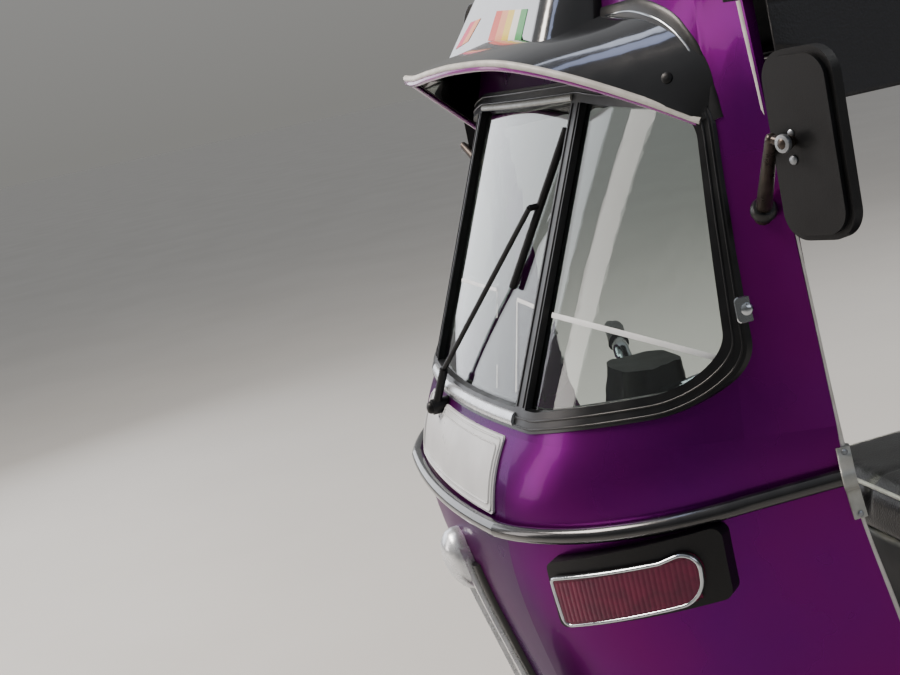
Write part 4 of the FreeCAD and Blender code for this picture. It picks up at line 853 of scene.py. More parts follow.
# %% [markdown]
# ## Front plate border
# The blank plate is pressed: a raised rim and an inner line run round it. A bump could draw them, but the rim
# catches light on its edge, so both are swept on the plate. They go round the wiper's spindle, which stands
# before the plate's top edge.

# %% Plate border
PLATE_HALF, PLATE_LOW, PLATE_HIGH = 185.0, 976.0, 1068.0
SPINDLE, SPINDLE_CLEAR = np.array([-75.0, 1066.0]), 18
border = []
for inset_by, width in ((3.5, 3.0), (11.0, 2.2)):
    pairs = rectangle(PLATE_HALF - inset_by, PLATE_LOW + inset_by, PLATE_HIGH - inset_by, 7)
    away = pairs - SPINDLE
    far = np.linalg.norm(away, axis=1, keepdims=True)
    pairs = np.where(far < SPINDLE_CLEAR, SPINDLE + away / far * SPINDLE_CLEAR, pairs)
    pairs[:, 1] = np.minimum(pairs[:, 1], PLATE_HIGH - 2)
    border.append(strip(from_front(pairs, "front_plate"), width, 2.0, closed=True))
piece("plate_border", border, [PLATE_WHITE])


# %% [markdown]
# ## Nose trim
# A black rubber edge lies beside the nose rib, on the cowl, and a bright domed cap closes the rib's top. The
# cap could be a squashed sphere, but a pole would pinch its mirror light, so it is a square grid drawn into a
# disc and swollen.

# %% Nose edge and cap
# x and z of the rib's outer edge on one side, from its foot to the cap
NOSE_EDGE = [(64.0, 505.0), (57.2, 600.0), (50.4, 700.0), (43.6, 800.0), (38.5, 874.0)]
EDGE_BESIDE = np.array([12.0, 0.0])
nose_edge = strip(from_front(flowing(NOSE_EDGE, 8.0) + EDGE_BESIDE, "cowl"), 24.0, 8.0, 1.0)
piece("nose_edge_rubber", mirrored([nose_edge]), [RUBBER_BLACK])

CAP_CENTRE, CAP_HALF, CAP_SWELL, CAP_DEEP = (0.0, 869.0), (38.0, 45.0), 24.0, 9
# each row and column of the grid shortens towards the rim by a root, which makes the square round
u, v = np.linspace(-1, 1, 25)[None], np.linspace(-1, 1, 25)[:, None]
around_x, around_z = u * np.sqrt(1 - v ** 2 / 2), v * np.sqrt(1 - u ** 2 / 2)
pairs = np.stack([CAP_CENTRE[0] + around_x * CAP_HALF[0], CAP_CENTRE[1] + around_z * CAP_HALF[1]], -1)
hit = from_front(pairs, "nose_spine")[0]
swell = CAP_SWELL * np.sqrt(np.clip(1 - around_x ** 2 - around_z ** 2, 0, 1))[..., None] * MM
piece("nose_cap", [slab(hit - BACK * (swell + 0.5 * MM), hit + BACK * CAP_DEEP * MM)], [BRIGHT_STRIP])


# %% [markdown]
# ## Side lamps
# The lens is moulded with upright ribs about six millimetres apart and sits in a bright rim. A bump would show
# the ribs but leave the lens's outline smooth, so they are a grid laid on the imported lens, whose height follows
# a row of half waves.

# %% Lens ribs and rims
LAMP_START = (294.0, 35.0, 862.0)
LAMP_TURN = radians(45.6)
LAMP_RISE = 0.19
# distance along the lamp, height and corner radius
LENS = [(10.0, 4.0, 12.0), (192.0, 7.0, 28.0), (195.0, 70.0, 22.0), (150.0, 62.0, 20.0), (6.0, 66.0, 4.0)]
LAMP_ALONG = np.array([cos(LAMP_TURN), sin(LAMP_TURN), LAMP_RISE])
LAMP_OUT = np.array([sin(LAMP_TURN), -cos(LAMP_TURN), 0.0])
LAMP_CLEAR = 0.3
RIB, RIB_HIGH = 6.2, 0.55


def on_lens(pairs):
    """Points and normals of the lens at (along, height) pairs in mm, by rays from a plane clear of the lamp."""
    pairs = np.asarray(pairs, float)
    starts = at(*LAMP_START) + pairs[..., :1] * MM * LAMP_ALONG + pairs[..., 1:] * MM * SKYWARD
    return cast(starts + LAMP_OUT * LAMP_CLEAR, -LAMP_OUT, NODES["side_lenses"])


rim_pairs = outline(LENS, 3.0)
# the rim follows the lens's outline a little inside it
rim_pairs = rim_pairs.mean(0) + (rim_pairs - rim_pairs.mean(0)) * 0.98
line = on_lens(rim_pairs)[0]
rim = sweep(line - LAMP_OUT * 1.5 * MM, LAMP_OUT, dome_profile(5.0, 3.2, 3.0), closed=True)
piece("side_lamp_rims", mirrored([rim]), [CHROME])

columns = np.arange(14, 188, RIB / 8)
hit, normals = on_lens(np.stack(np.broadcast_arrays(columns[None], np.linspace(10, 60, 12)[:, None]), -1))
swell = np.abs(np.sin(pi * columns / RIB))[None, :, None] * RIB_HIGH * MM
smooth = eased(normals.mean(0))[None]
ribs = slab(hit + smooth * (swell + 0.2 * MM), hit - smooth * 0.8 * MM)
piece("side_lens_ribs", mirrored([ribs]), [RED_LENS], sharp=60)


# %% [markdown]
# ## Mirrors and wiper fittings
# The mirror's arm ends in a rubber foot on the pillar, and screws and a ball at the shell. The wiper has a cap
# over its spindle. They are made on a lathe or in round moulds, so each is a short table of heights and radii
# turned about an axis.

# %% Mirror and wiper fittings
ARM_FOOT, ARM_ELBOW = np.array([472.0, 277.6, 1297.7]), np.array([577.9, 249.8, 1385.9])
ARM_AXIS = unit(ARM_ELBOW - ARM_FOOT)
FOOT_ALONG = 13
SHELL_TURN = radians(20)
SHELL_AHEAD = np.array([sin(SHELL_TURN), -cos(SHELL_TURN), 0.0])
BALL = at(594.0, 254.5, 1380.0)
SHELL_SCREWS = [((794, 160), 0.9), ((791, 133), 0.7)]
# height and radius of each level
FOOT_LEVELS = [(-3, 11), (0, 14), (6, 13.6), (9, 11.2), (9.5, 9)]
BALL_LEVELS = [(-3, 5.5), (-2.4, 8.6), (0, 9.2), (2.4, 8.6), (3, 5.5)]
WIPER_CAP_LEVELS = [(-1, 9), (3, 9), (6, 7), (7.5, 3)]
fittings = [stack(FOOT_LEVELS, at(*(ARM_FOOT + ARM_AXIS * FOOT_ALONG)), ARM_AXIS),
            (*stack(BALL_LEVELS, BALL + SHELL_AHEAD * 3 * MM, SHELL_AHEAD), 1)]
for pixel, size in SHELL_SCREWS:
    spot, normal = in_picture([pixel], "mirror_shells")
    fittings.append((*screw(spot[0], normal[0], size), 1))
piece("mirror_fittings", mirrored(fittings), [RUBBER_BLACK, ALUMINIUM])
spot = from_front([SPINDLE], "wiper")[0][0]
piece("wiper_cap", [stack(WIPER_CAP_LEVELS, spot, (0, -1, 0.1))], [SATIN_BLACK])


# %% [markdown]
# ## Tyres
# A tyre is one closed section turned about its axle. Its blocks could be set on one by one, but then seams
# show between them. Here the tread is cut into the same surface: every point of the crown sinks where a groove
# passes, so the blocks keep the plain tyre's outer size. Nuts and a dust cap finish each wheel.

# %% Tyres with tread
TYRE_RADIUS, TYRE_HALF, RIM_RADIUS = 205.0, 52.5, 103.0
BEAD_HALF = 34.7
TREAD_DEPTH, TREAD_PITCHES, TREAD_STEPS = 5.0, 44, 352
SLANT, STRAIGHT_AT, CENTRE_HALF = 46, 12, 10
FLANK_RIB, FLANK_RIB_AT = 0.9, 150
# x, radius, corner radius, from the bead to the middle of the crown
TYRE_SIDE = [(BEAD_HALF, RIM_RADIUS + 0.3, 0), (BEAD_HALF, RIM_RADIUS + 9, 0), (TYRE_HALF, RIM_RADIUS + 30, 22),
             (TYRE_HALF, TYRE_RADIUS - 26, 22), (TYRE_HALF - 22, TYRE_RADIUS, 18)]
TYRE_SECTION = [(-BEAD_HALF, RIM_RADIUS + 0.3, 0)] + TYRE_SIDE + [(-x, r, c) for x, r, c in TYRE_SIDE[:0:-1]]


def middle_of(node):
    """Middle of a node's box."""
    low, high = (np.array(p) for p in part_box(node))
    return (low + high) / 2


def tyre(name, node, body):
    """Section turned about the wheel's axle, sunk where two straight and many slanted grooves cross the crown.
    A groove is a clipped ramp of the distance from its middle, so its walls slope and its floor is flat."""
    middle = middle_of(node)
    section = outline(TYRE_SECTION, 3.2)
    turn = 2 * pi * np.arange(TREAD_STEPS)[:, None] / TREAD_STEPS
    x, r = section.T[:, None]
    phase = (turn * TREAD_PITCHES / (2 * pi) + np.abs(x) / SLANT) % 1
    slanted = np.clip(1.6 - np.abs(phase - 0.5) * 10, 0, 1) * (np.abs(x) > CENTRE_HALF)
    straight = np.clip(2.6 - np.abs(np.abs(x) - STRAIGHT_AT), 0, 1)
    crown = np.clip((r - TYRE_RADIUS + 16) / 8, 0, 1)
    rib = FLANK_RIB * np.exp(-((r - FLANK_RIB_AT) / 2.0) ** 2) * (np.abs(x) > 40)
    radius = (r - TREAD_DEPTH * crown * np.maximum(slanted, straight)) * MM
    wide = (x + np.sign(x) * rib + 0 * phase) * MM
    points = middle + np.stack([wide, np.cos(turn) * radius, np.sin(turn) * radius], -1)
    obj = piece(name, [grid_part(points, (True, True))], [TYRE_RUBBER], body, sharp=30)
    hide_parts(node)


for side in ("front", "left", "right"):
    tyre(side + "_tyre_tread", side + "_tyre", side + "_wheel")


# %% Wheel nuts and caps
NUT_CIRCLE, DISC_OUT, HUB_OUT = 47, 11, 30
# height and radius of each level
NUT_LEVELS = [(-1, 8.5), (7, 8.5), (8, 7), (8, 4.5), (12, 4.5), (13, 3)]
CAP_LEVELS = [(-4, 26), (3, 26), (7, 23), (12, 20), (15, 12)]


def wheel_fittings(wheel, side):
    """Four nuts on the disc and a dust cap on the hub, on the side that the disc faces: 1 left, -1 right."""
    face = middle_of(wheel) + LEFT * side * DISC_OUT * MM
    parts = []
    for turn in pi / 4 + pi / 2 * np.arange(4):
        centre = face + np.array([0.0, cos(turn), sin(turn)]) * NUT_CIRCLE * MM
        parts.append((*stack(NUT_LEVELS, centre, LEFT * side, count=6), 0))
    parts.append((*stack(CAP_LEVELS, face + LEFT * side * HUB_OUT * MM, LEFT * side, count=32), 1))
    piece(wheel + "_fittings", parts, [CHROME, SATIN_BLACK], wheel)


for wheel, side in (("front_wheel", 1), ("left_wheel", 1), ("right_wheel", -1)):
    wheel_fittings(wheel, side)


# %% [markdown]
# ## Seats
# A seat is foam under grained vinyl: it swells between its seams and pulls in at its edges. A hand-made cage
# under a subdivision could look like that, but pressure in a cloth gives it by itself. A slightly smaller copy
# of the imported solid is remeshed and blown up, held to a few millimetres, and its sewn channels are pressed in
# afterwards, because the remesh would erase them. A welt follows the top edge.

# %% Remesh and blow up
WELD_WITHIN = 0.0002
MOST_INSET = 0.12
BLOW_FRAMES, BLOW_PRESSURE = 20, 4.0


def as_shown(obj):
    """A new mesh with the object's modifiers applied at the present frame."""
    return bpy.data.meshes.new_from_object(obj.evaluated_get(bpy.context.evaluated_depsgraph_get()))


def remeshed(name, node, voxel, inset_by):
    """An object at the node's place, drawn in about its middle but still on its base, with even faces."""
    low, high = (np.array(p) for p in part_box(node))
    centre, size = (low + high) / 2, high - low
    mesh = NODES[node].data.copy()
    obj = in_scene(name, mesh)
    points = centre + (mesh_points(mesh) - centre) * (1 - 2 * np.minimum(inset_by, size * MOST_INSET) / size)
    points[:, 2] += low[2] - points[:, 2].min()
    mesh.vertices.foreach_set("co", points.ravel())
    obj.modifiers.new("weld", "WELD").merge_threshold = WELD_WITHIN
    remesh = obj.modifiers.new("remesh", "REMESH")
    remesh.mode = "VOXEL"
    remesh.voxel_size = voxel * MM
    bpy.context.view_layer.update()
    solid = as_shown(obj)
    obj.modifiers.clear()
    obj.data = solid
    return obj


def blown(obj):
    cloth = obj.modifiers.new("cloth", "CLOTH")
    cloth.settings.use_pressure = True
    cloth.settings.uniform_pressure_force = BLOW_PRESSURE
    cloth.settings.effector_weights.gravity = 0.0
    for number in range(1, BLOW_FRAMES + 1):
        bpy.context.scene.frame_set(number)
    swollen = mesh_points(as_shown(obj))
    obj.modifiers.clear()
    bpy.context.scene.frame_set(1)
    return swollen


# %% Cushions
CHANNEL_WIDTH, CHANNEL_DEPTH = 7.0, 9.0


def cushion(name, node, voxel, cap, channels):
    """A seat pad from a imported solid. channels: x of each sewn channel in mm; cap: the most a point may swell.
    A channel pulls points to the middle by a bell curve across it, fading out towards the pad's base."""
    low, high = (np.array(p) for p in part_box(node))
    centre, size = (low + high) / 2, high - low
    obj = remeshed(name, node, voxel, cap * MM * 0.8)
    rest = mesh_points(obj.data)
    move = blown(obj) - rest
    far = np.linalg.norm(move, axis=1, keepdims=True)
    points = rest + move * np.minimum(1.0, cap * MM / np.maximum(far, 1e-9))
    upper = np.clip(((points - low) / size)[:, 2] * 3 - 0.75, 0, 1)
    for x in channels:
        pull = CHANNEL_DEPTH * MM * np.exp(-((points[:, 0] - x * MM) / (CHANNEL_WIDTH * MM)) ** 2)
        points = points - unit(points - centre) * (pull * upper)[:, None]
    obj.data.vertices.foreach_set("co", np.clip(points, low, high).ravel())
    obj.data.materials.clear()
    obj.data.materials.append(SEAT_VINYL)
    obj.data.shade_smooth()
    smooth_over = obj.modifiers.new("subdivision", "SUBSURF")
    smooth_over.levels = smooth_over.render_levels = 1
    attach(obj, "root")
    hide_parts(node)
    print("made", name, len(points), "points")
    return obj


BENCH_CHANNELS = (-322, -161, 0, 161, 322)
driver = cushion("driver_cushion", "driver_seat", 6.0, 10.0, (-100, 100))
bench = cushion("bench_cushion", "bench_seat", 9.0, 12.0, BENCH_CHANNELS)
cushion("bench_backrest", "bench_back", 8.0, 10.0, BENCH_CHANNELS)


# %% Cushion welts
WELT_HEIGHT_SHARE, WELT_CORNER, PIPING_RADIUS = 0.86, 40.0, 3.6


def welt_round(obj, name, inset_by):
    """A piped seam round a cushion near its top: its box's outline, moved in by a distance in millimetres."""
    points = mesh_points(obj.data)
    low, high = points.min(0), points.max(0)
    centre = (low + high) / 2
    half_x, half_y = (high - low)[:2] / 2 / MM
    pairs = rectangle(half_x, -half_y, half_y, WELT_CORNER, 7.0) * MM
    ring = np.append(pairs, np.zeros((len(pairs), 1)), 1) + centre * (1 - SKYWARD)
    ring[:, 2] = low[2] + (high[2] - low[2]) * WELT_HEIGHT_SHARE
    inward = np.cross(unit(np.roll(ring, 1, 0) - np.roll(ring, -1, 0)), SKYWARD)
    inward = inward * np.sign(((centre - ring) * inward).sum(1))[:, None]
    welt = sweep(ring + inward * inset_by * MM, SKYWARD, round_profile(PIPING_RADIUS, 10), closed=True)
    piece(name, [welt], [WELT_WHITE])


welt_round(driver, "driver_seat_welt", 6.0)
welt_round(bench, "bench_welt", 7.0)


# %% [markdown]
# ## Hood
# The hood is one coated cloth over the hoops, from the screen back and down both sides of the passengers, with
# a back curtain that has a clear window. It is stretched so tight that a simulation would hardly move it, so
# its form is worked out: the cross section is a straight wall, a shoulder arc and a long crown arc, whose sizes
# run between four stations, and it sags a few millimetres between the hoops.

# %% Sizes of the hood
# y, half width, shoulder z, corner run, corner z, crown z
HOOD = np.array([(262, 502, 1520, 112, 1612, 1642), (1080, 545, 1475, 130, 1622, 1710),
                 (2000, 582, 1465, 140, 1610, 1690), (2330, 586, 1440, 140, 1580, 1655)], float)
CLOTH_IN = 4.0
HOOD_BASE = 837.0
REAR_LOW, REAR_HIGH = (2296.0, 600.0), (2120.0, 1735.0)
REAR_ROUND = 190.0
REAR_SLOPE = (REAR_HIGH[0] - REAR_LOW[0]) / (REAR_HIGH[1] - REAR_LOW[1])
HOOP_YS = np.array([262.0, 1080.0, 1600.0, 2150.0])
DOOR_TOP = 1402
WALL_POINTS, SHOULDER_POINTS, CROWN_POINTS = 22, 12, 22
# y and z of the cloth's lower edge: over the cowl, over the door, then down the side curtain
LOW_EDGE = np.array([(262, 1522), (306.5, 1522), (308, DOOR_TOP), (1440, DOOR_TOP), (1490, 1394), (1520, 1372),
                     (1536, 1340), (1545, 1280), (1584, HOOD_BASE), (2400, HOOD_BASE)])
print("hood from y", HOOD[0, 0], "to", REAR_LOW[0], "highest at", HOOD[:, 5].max(), "mm")


# %% Arcs of a hood section
def angle_of(v):
    """Angle of (..., 2) vectors from their first axis."""
    return np.arctan2(v[..., 1], v[..., 0])


def arc_through(a, b, c, t):
    """Points at shares t along the circle through three points, given as (..., 2) arrays."""
    ab, ac = b - a, c - a
    cross = ab[..., 0] * ac[..., 1] - ab[..., 1] * ac[..., 0]
    ab2, ac2 = (ab ** 2).sum(-1), (ac ** 2).sum(-1)
    centre = a + np.stack([ac[..., 1] * ab2 - ab[..., 1] * ac2, ab[..., 0] * ac2 - ac[..., 0] * ab2], -1) \
        / (2 * cross)[..., None]
    first = angle_of(a - centre)
    turn = (angle_of(c - centre) - first + pi) % (2 * pi) - pi
    radius = np.linalg.norm(a - centre, axis=-1)
    angle = first[..., None] + turn[..., None] * t
    return centre[..., None, :] + radius[..., None, None] * np.stack([np.cos(angle), np.sin(angle)], -1)


def hood_section(y, low):
    """Points of the half section at each y, from the low edge up to the crown: (stations, points, (x, z))."""
    half, shoulder, run, corner, crown = (np.interp(y, HOOD[:, 0], HOOD[:, k]) for k in range(1, 6))
    half, corner, crown = half - CLOTH_IN, corner - CLOTH_IN, crown - CLOTH_IN
    s = np.sqrt(0.5)
    start = np.stack([half, shoulder], -1)
    middle = np.stack([half - run * (1 - s), shoulder + (corner - shoulder) * s], -1)
    top = np.stack([half - run, corner], -1)
    crown_point = np.stack([0 * y, crown], -1)
    wall = np.linspace(0, 1, WALL_POINTS, endpoint=False)[None, :, None]
    side = np.stack([half, low], -1)[:, None] * (1 - wall) + start[:, None] * wall
    shoulder_arc = arc_through(start, middle, top, np.linspace(0, 1, SHOULDER_POINTS, endpoint=False))
    crown_arc = arc_through(top, crown_point, top * np.array([-1, 1]), np.linspace(0, 0.5, CROWN_POINTS))
    return np.concatenate([side, shoulder_arc, crown_arc], 1)


# %% Rear and lower edge of the hood
def rear_limit(z):
    """How far back the hood reaches at a height: a slanted plane, rounded into the roof."""
    plane = REAR_LOW[0] + (z - REAR_LOW[1]) * REAR_SLOPE
    lean = np.arctan(-REAR_SLOPE)
    centre_z = REAR_HIGH[1] - REAR_ROUND
    centre_y = REAR_LOW[0] + (centre_z - REAR_LOW[1]) * REAR_SLOPE - REAR_ROUND / cos(lean)
    over = np.clip((z - centre_z) / REAR_ROUND, -1, 1)
    rounded = centre_y + REAR_ROUND * np.sqrt(1 - over ** 2)
    return np.where(z > centre_z + REAR_ROUND * sin(lean), rounded, plane) - CLOTH_IN


def low_edge(y):
    """Height of the cloth's lower edge at y, in straight runs between the rows above."""
    return np.interp(y, LOW_EDGE[:, 0], LOW_EDGE[:, 1])


# %% Hood cloth
def cloth_sheet(name, points, quads, thick):
    """A sheet of hood cloth: an open surface given a thickness by a modifier, in the hood vinyl."""
    mesh = smooth_mesh(name, points, quads, [HOOD_VINYL], 40)
    obj = in_scene(name, mesh)
    skin = obj.modifiers.new("thickness", "SOLIDIFY")
    skin.thickness = thick * MM
    skin.offset = 0.0
    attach(obj, "root")
    return obj


SLANT_FROM, SAG, SAG_FROM_Z, SAG_FADE = 1500, 7.0, 1500, 120
# closer where the edge drops behind the screen and at the side curtain
stations = np.unique(np.concatenate([[262, 284, 306.5, 308], np.linspace(340, 1440, 44),
                                     np.linspace(1440, 1590, 26), np.linspace(1600, 2296, 40)]))
x, z = np.moveaxis(hood_section(stations, low_edge(stations)), -1, 0)
# behind the slant's start the rows lean over more and more, to end on the slanted rear
beyond = np.clip((stations[:, None] - SLANT_FROM) / (stations[-1] - SLANT_FROM), 0, 1)
y = np.where(beyond > 0, SLANT_FROM + (rear_limit(z) - SLANT_FROM) * beyond, stations[:, None])
gap = np.clip(np.searchsorted(HOOP_YS, y, side="right") - 1, 0, len(HOOP_YS) - 2)
part = np.clip((y - HOOP_YS[gap]) / (HOOP_YS[gap + 1] - HOOP_YS[gap]), 0, 1)
sag = SAG * np.sin(pi * part) ** 2 * np.clip((z - SAG_FROM_Z) / SAG_FADE, 0, 1)
half_cloth = np.stack([x, y, z - sag], -1)
whole = np.concatenate([half_cloth, (half_cloth * np.array([-1, 1, 1]))[:, -2::-1]], 1)
points, quads = grid_part(at(0, 0, 0) + whole * MM)
hood = cloth_sheet("hood_cloth", points, [q[::-1] for q in quads], 2.5)
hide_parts("canopy")

# %% Back curtain with its window
WINDOW_HALF, WINDOW_LOW, WINDOW_HIGH = 252.0, 1156.0, 1374.0
RIPPLE, RIPPLE_X, RIPPLE_Z = 2.0, 90.0, 130.0
half_at_back = float(np.interp(stations[-1], HOOD[:, 0], HOOD[:, 1])) - CLOTH_IN
# columns close up towards the sides, where the shoulder turns down
outer = WINDOW_HALF + (half_at_back - WINDOW_HALF) * np.sin(np.linspace(0, pi / 2, 20))
columns = np.concatenate([-outer[::-1], np.linspace(-WINDOW_HALF, WINDOW_HALF, 25)[1:-1], outer])
# the curtain's top follows the hood's own rear edge above its straight walls
arc = hood_section(stations[-1:], np.array([HOOD_BASE]))[0][WALL_POINTS:][::-1]
top = np.interp(np.abs(columns), arc[:, 0], arc[:, 1]) - 1.0
# rows below, beside and above the window
BELOW, BESIDE, ABOVE = 14, 11, 15
z = np.concatenate([HOOD_BASE + (WINDOW_LOW - HOOD_BASE) * np.linspace(0, 1, BELOW)[:, None] + 0 * columns,
                    WINDOW_LOW + (WINDOW_HIGH - WINDOW_LOW) * np.linspace(0, 1, BESIDE + 1)[1:, None]
                    + 0 * columns,
                    WINDOW_HIGH + (top - WINDOW_HIGH) * np.linspace(0, 1, ABOVE + 1)[1:, None]])
x = columns[None] + 0 * z
y = rear_limit(z) - 2.0 + RIPPLE * np.sin(x / RIPPLE_X) * np.sin(z / RIPPLE_Z)
points, quads = grid_part(at(0, 0, 0) + np.stack([x, y, z], -1) * MM)
row, col = np.divmod(np.array(quads)[:, 0], len(columns))
hole = (row >= BELOW - 1) & (row < BELOW - 1 + BESIDE) & (columns[col] >= -WINDOW_HALF - 1) \
    & (columns[col] < WINDOW_HALF - 1)
cloth_sheet("back_curtain", points, [q for q, cut in zip(quads, hole) if not cut], 2.0)

# soft clear film: a little hazy and yellowed
WINDOW_FILM = clear_piece("clear_vinyl_film", "e8e6dc", "dedcd2", 0.06)
FILM_OVERLAP = 14
reach, low, high = WINDOW_HALF + FILM_OVERLAP, WINDOW_LOW - FILM_OVERLAP, WINDOW_HIGH + FILM_OVERLAP
film = bilinear([(-reach, low), (reach, low), (reach, high), (-reach, high)], 14, 24)
film_at = at(0, 0, 0) + np.stack([film[..., 0], rear_limit(film[..., 1]) - 6.0, film[..., 1]], -1) * MM
piece("back_window_film", [slab(film_at, film_at - BACK * 0.6 * MM)], [WINDOW_FILM])

# %% Seams of the hood
SEAM_YS = (290.0, 1080.0, 1600.0)
seams = []
for y in SEAM_YS:
    half_seam = hood_section(np.array([y]), np.array([max(float(low_edge(y)), DOOR_TOP)]))[0]
    seam = np.concatenate([half_seam, half_seam[-2::-1] * np.array([-1, 1])])
    line = at(0, y, 0) + np.stack([seam[:, 0], 0 * seam[:, 0], seam[:, 1]], 1) * MM
    line = resample(line, 12 * MM)
    away = np.cross(BACK, unit(np.gradient(line, axis=0)))
    away = away * np.sign(away[len(away) // 2, 2])
    seams.append(sweep(line + away * MM, away, dome_profile(26.0, 1.6, 0.6)))
piece("hood_seam_tapes", seams, [HOOD_VINYL])


# %% [markdown]
# ## Rear details
# Each louvre slot in the lid has a pressed hood over it. It could be pushed out of the lid's own mesh, but that
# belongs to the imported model, so it is a thin shell on the lid: a quarter of a wave that fades out at its ends.
# The tail lamps have a bright rim, and a T handle holds the lid shut.

# %% Louvre hoods
FIRST_LOUVRE_Z, LOUVRE_PITCH, LOUVRE_ROWS = 509, 34.0, 6
LOUVRE_X, LOUVRE_HALF, LOUVRE_DROP, LOUVRE_OUT, LOUVRE_THICK = 190, 123, 24, 10.0, 1.2
louvres = []
for z_slot in FIRST_LOUVRE_Z + LOUVRE_PITCH * np.arange(LOUVRE_ROWS):
    for side in (-1, 1):
        u = np.linspace(-1, 1, 25)[None, :]
        v = np.linspace(0, 1, 9)[:, None]
        x = side * LOUVRE_X + u * LOUVRE_HALF + 0 * v
        hit = from_behind(np.stack([x, z_slot + 8 + 0 * x], -1), "engine_lid")[0]
        lift = LOUVRE_OUT * np.sin(pi / 2 * v) * np.sqrt(np.clip(1 - u ** 8, 0, 1)) + LOUVRE_THICK / 2
        fall = 6 - LOUVRE_DROP * v + 0 * u
        face = hit + np.stack([0 * x, lift, fall], -1) * MM
        louvres.append(slab(face, face - BACK * LOUVRE_THICK * MM))
piece("lid_louvre_hoods", louvres, [PAINT], "engine_lid")

# %% Lid handle and tail lamp rims
HANDLE_Z, HANDLE_HALF, HANDLE_OUT, HANDLE_RADIUS = 455, 35, 14, 5.5
BOSS_LEVELS = [(-1, 17), (2, 17), (4, 14), (12, 8)]
spot = from_behind([(0, HANDLE_Z)], "engine_lid")[0][0]
boss = stack(BOSS_LEVELS, spot, BACK)
bar = spot + LEFT * np.linspace(-HANDLE_HALF, HANDLE_HALF, 12)[:, None] * MM + BACK * HANDLE_OUT * MM
piece("lid_handle", [boss, sweep(bar, BACK, round_profile(HANDLE_RADIUS))], [CHROME],
      "engine_lid")

# x, z and corner radius
TAIL_LAMP = [(470, 560, 12), (560, 560, 12), (560, 700, 12), (470, 700, 12)]
line = from_behind(outline(TAIL_LAMP, 4.0), "rear_lamps")[0]
piece("tail_lamp_rims", mirrored([sweep(line, BACK, dome_profile(6.0, 3.0, 6.0), closed=True)]), [CHROME])


# %% [markdown]
# ## Headlamp and cabin details
# The headlamp has a bright ring, a fluted glass, and a plated bowl with its bulb shield behind the glass. One
# mirror-like disc would look blind from near by, so each is its own shell about the lamp's axis. In the cabin
# there is a ribbed rubber mat, a grid whose height jumps between rib and groove.

# %% Headlamp ring
TILT = radians(10.0)
HEADLAMP_Y, HEADLAMP_Z, HEADLAMP_DEEP = -255, 508, 78
HEADLAMP_BACK = np.array([0.0, cos(TILT), sin(TILT)])
HEADLAMP_FACE = at(0, HEADLAMP_Y + HEADLAMP_DEEP * sin(TILT), HEADLAMP_Z)
HEADLAMP_UP = np.cross(HEADLAMP_BACK, LEFT)
RING_RADIUS, RING_SET_BACK = 75.5, 5
ring = HEADLAMP_FACE + HEADLAMP_BACK * RING_SET_BACK * MM + RING_RADIUS * MM * circle(72) @ [LEFT, HEADLAMP_UP]
piece("headlamp_ring", [sweep(ring, HEADLAMP_BACK, round_profile(5.0), closed=True)], [CHROME],
      "steering")

# %% Headlamp glass and bowl
LENS_RADIUS, FLUTE, FLUTE_DEEP, GLASS_THICK, BOWL_THICK = 69.0, 7.0, 0.9, 2.4, 1.0
SHIELD_BACK, SHIELD_LEVELS = 18, [(0, 7), (2, 8.5), (9, 8.5), (12, 6), (13, 2)]


def turned_shell(front, back, rings=16, count=96):
    """Closed shell about the lamp's axis between two depths in mm behind the rim. Each depth is a function of
    the share of the radius and of the distance across the lamp."""
    share = np.linspace(0.01, 1, rings)[:, None]
    disc = share[..., None] * LENS_RADIUS * circle(count)
    ring = disc @ np.stack([LEFT, HEADLAMP_UP]) * MM
    walls = [HEADLAMP_FACE + ring + HEADLAMP_BACK * depth(share, disc[..., 0])[..., None] * MM
             for depth in (front, back)]
    return capped(np.concatenate([walls[0], walls[1][::-1]]))


def glass_front(share, across):
    """A shallow dome: two millimetres before the rim at its middle, three behind it at its edge."""
    return -2 + 5 * share ** 2 + 0 * across


def glass_back(share, across):
    """The dome again, a wall's thickness behind, with upright flutes: a row of half waves across the lamp."""
    return glass_front(share, across) + GLASS_THICK + FLUTE_DEEP * np.abs(np.sin(pi * across / FLUTE))


def bowl_front(share, across):
    """A dish that is deepest behind the bulb and comes forward to its edge."""
    return 18.6 - 10.4 * share ** 2 + 0 * across


def bowl_back(share, across):
    """The dish again, a wall's thickness behind."""
    return bowl_front(share, across) + BOWL_THICK


headlamp_glass = piece("headlamp_glass", [turned_shell(glass_front, glass_back)], [LAMP_GLASS],
                       "steering")
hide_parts("headlamp_lens")
shield = stack(SHIELD_LEVELS, HEADLAMP_FACE + HEADLAMP_BACK * SHIELD_BACK * MM, -HEADLAMP_BACK)
piece("headlamp_bowl", [turned_shell(bowl_front, bowl_back), (*shield, 1)], [CHROME, ALUMINIUM],
      "steering")

# %% Floor mat
MAT_HALF, MAT_FRONT, MAT_REAR, MAT_BASE = 380, 345, 690, 300.3
MAT_THICK, MAT_RIB, MAT_PITCH = 1.9, 1.6, 12.5
x, y = np.linspace(-MAT_HALF, MAT_HALF, 305)[:, None], np.linspace(MAT_FRONT, MAT_REAR, 12)[None]
z = MAT_BASE + MAT_THICK + MAT_RIB * (np.sin(x / MAT_PITCH * 2 * pi) > 0)
face = at(0, 0, 0) + np.stack(np.broadcast_arrays(x, y, z), -1) * MM
base = face * (1 - SKYWARD) + SKYWARD * MAT_BASE * MM
piece("floor_mat", [slab(face, base)], [MAT_RUBBER], sharp=30)


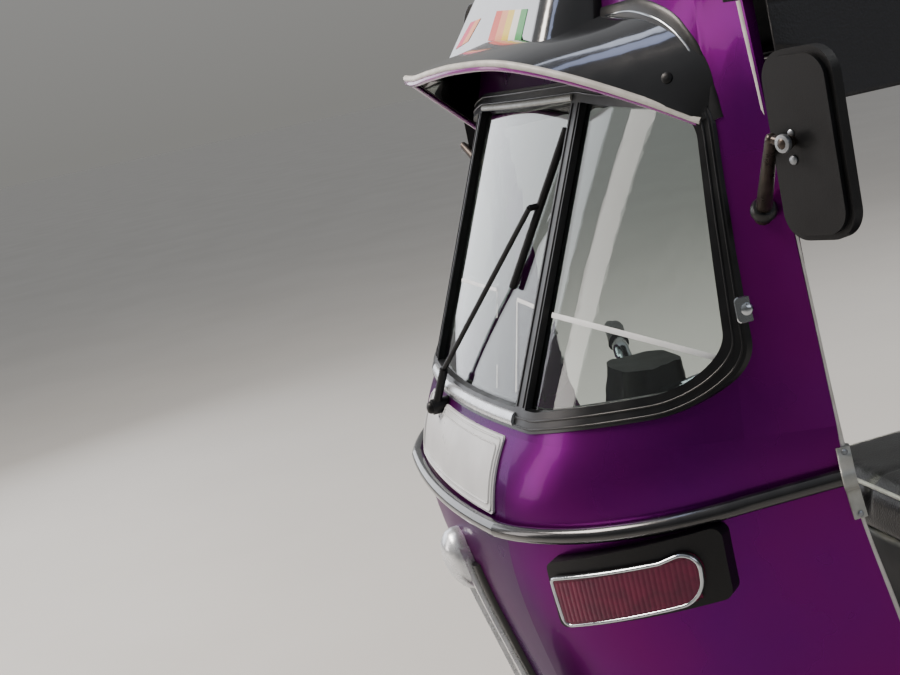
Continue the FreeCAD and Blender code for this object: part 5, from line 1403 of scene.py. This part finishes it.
# %% [markdown]
# ## Floor and light
# A plain pale floor and soft lamps. Gloss shows only what it mirrors, so the lamps are placed for their mirror
# images. The key lamp stands high in front on the far side, with a tall soft strip lower beside it: they make
# the glow on the cowl's front corner and the long line down the nose. Two small lamps overhead leave the
# streaks on the visor. One more fills the near side, one the far side, and one behind picks out the edges. The
# sky is darker low down, so that the paint has something dark to mirror.

# %% Studio floor
FLOOR_HALF = 150.0
corners = FLOOR_HALF * np.array([(-1, -1, 0), (1, -1, 0), (1, 1, 0), (-1, 1, 0)])
floor_mesh = bpy.data.meshes.new("studio_floor")
floor_mesh.from_pydata(corners.tolist(), [], [(0, 1, 2, 3)])
# painted screed: pale, even and nearly matt
floor_mesh.materials.append(finish("pale_studio_floor", ("cfccc6", "cac7c1"), 900, (0.6, 0.7)))
in_scene("studio_floor", floor_mesh)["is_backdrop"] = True


# %% Lamps and sky
def lamp(name, place, target, size, power, tint):
    """Area lamp at a place, turned towards a target."""
    data = bpy.data.lights.new(name, "AREA")
    data.shape = "RECTANGLE"
    data.size, data.size_y = size
    data.energy = power
    data.color = srgb(tint)[:3]
    away = unit(np.array(place, float) - np.array(target, float))
    side = unit(np.cross(SKYWARD, away))
    in_scene(name, data).matrix_world = set_down(place, side, np.cross(away, side), away)


lamp("key", (-1.6, -4.6, 5.8), (0, -0.8, 1.0), (3.0, 2.0), 520, "fff4ea")
lamp("front_strip", (-2.1, -5.0, 2.2), (0, -0.9, 1.2), (1.1, 2.8), 40, "fff6f2")
lamp("overhead_near", (-0.7, -2.7, 6.0), (0, -0.9, 1.6), (1.0, 0.5), 7, "c4d2ff")
lamp("overhead_far", (-1.7, -2.0, 6.2), (0, -0.9, 1.6), (0.9, 0.3), 5, "dfe8ff")
lamp("side", (5.0, 1.0, 3.6), (0, -0.2, 0.9), (4.0, 2.5), 45, "e9efff")
lamp("far", (-5.0, -3.0, 2.4), (0, -0.6, 1.2), (4.0, 3.0), 90, "f6f8ff")
lamp("rear", (-2.0, 5.5, 3.6), (0, 0.8, 1.0), (3.0, 2.0), 200, "ffffff")

world = bpy.data.worlds.new("soft_sky")
bpy.context.scene.world = world
world.use_nodes = True
tree = world.node_tree
direction = add(tree, "ShaderNodeSeparateXYZ", {0: add(tree, "ShaderNodeTexCoord", {}).outputs["Generated"]})
ramp = add(tree, "ShaderNodeValToRGB", {"Fac": direction.outputs[2]})
ramp.color_ramp.elements[0].color = srgb("aaa9a5")
ramp.color_ramp.elements.new(0.16).color = srgb("bdbcba")
ramp.color_ramp.elements[-1].color = srgb("f4f6fa")
ramp.color_ramp.elements[-1].position = 0.75
# the sky on the vehicle's left, where the camera stands, is the dimmer one
fade = add(tree, "ShaderNodeMapRange", {"Value": direction.outputs[0], "From Min": -1.0, "From Max": 1.0,
                                        "To Min": 0.58, "To Max": 0.26})
tree.links.new(ramp.outputs[0], tree.nodes["Background"].inputs["Color"])
tree.links.new(fade.outputs[0], tree.nodes["Background"].inputs["Strength"])
print("lights ready")


# %% [markdown]
# ## Sizes and the last line
# Both boxes, the imported model's and the finished model's, are printed side by side. The
# finished model has to stay in the imported model's box.

# %% Sizes
SHOWN_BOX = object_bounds()
for title, corners in (("cad", CAD_BOX), ("visual", SHOWN_BOX)):
    print(title, [[round(c, 4) for c in p] for p in corners])
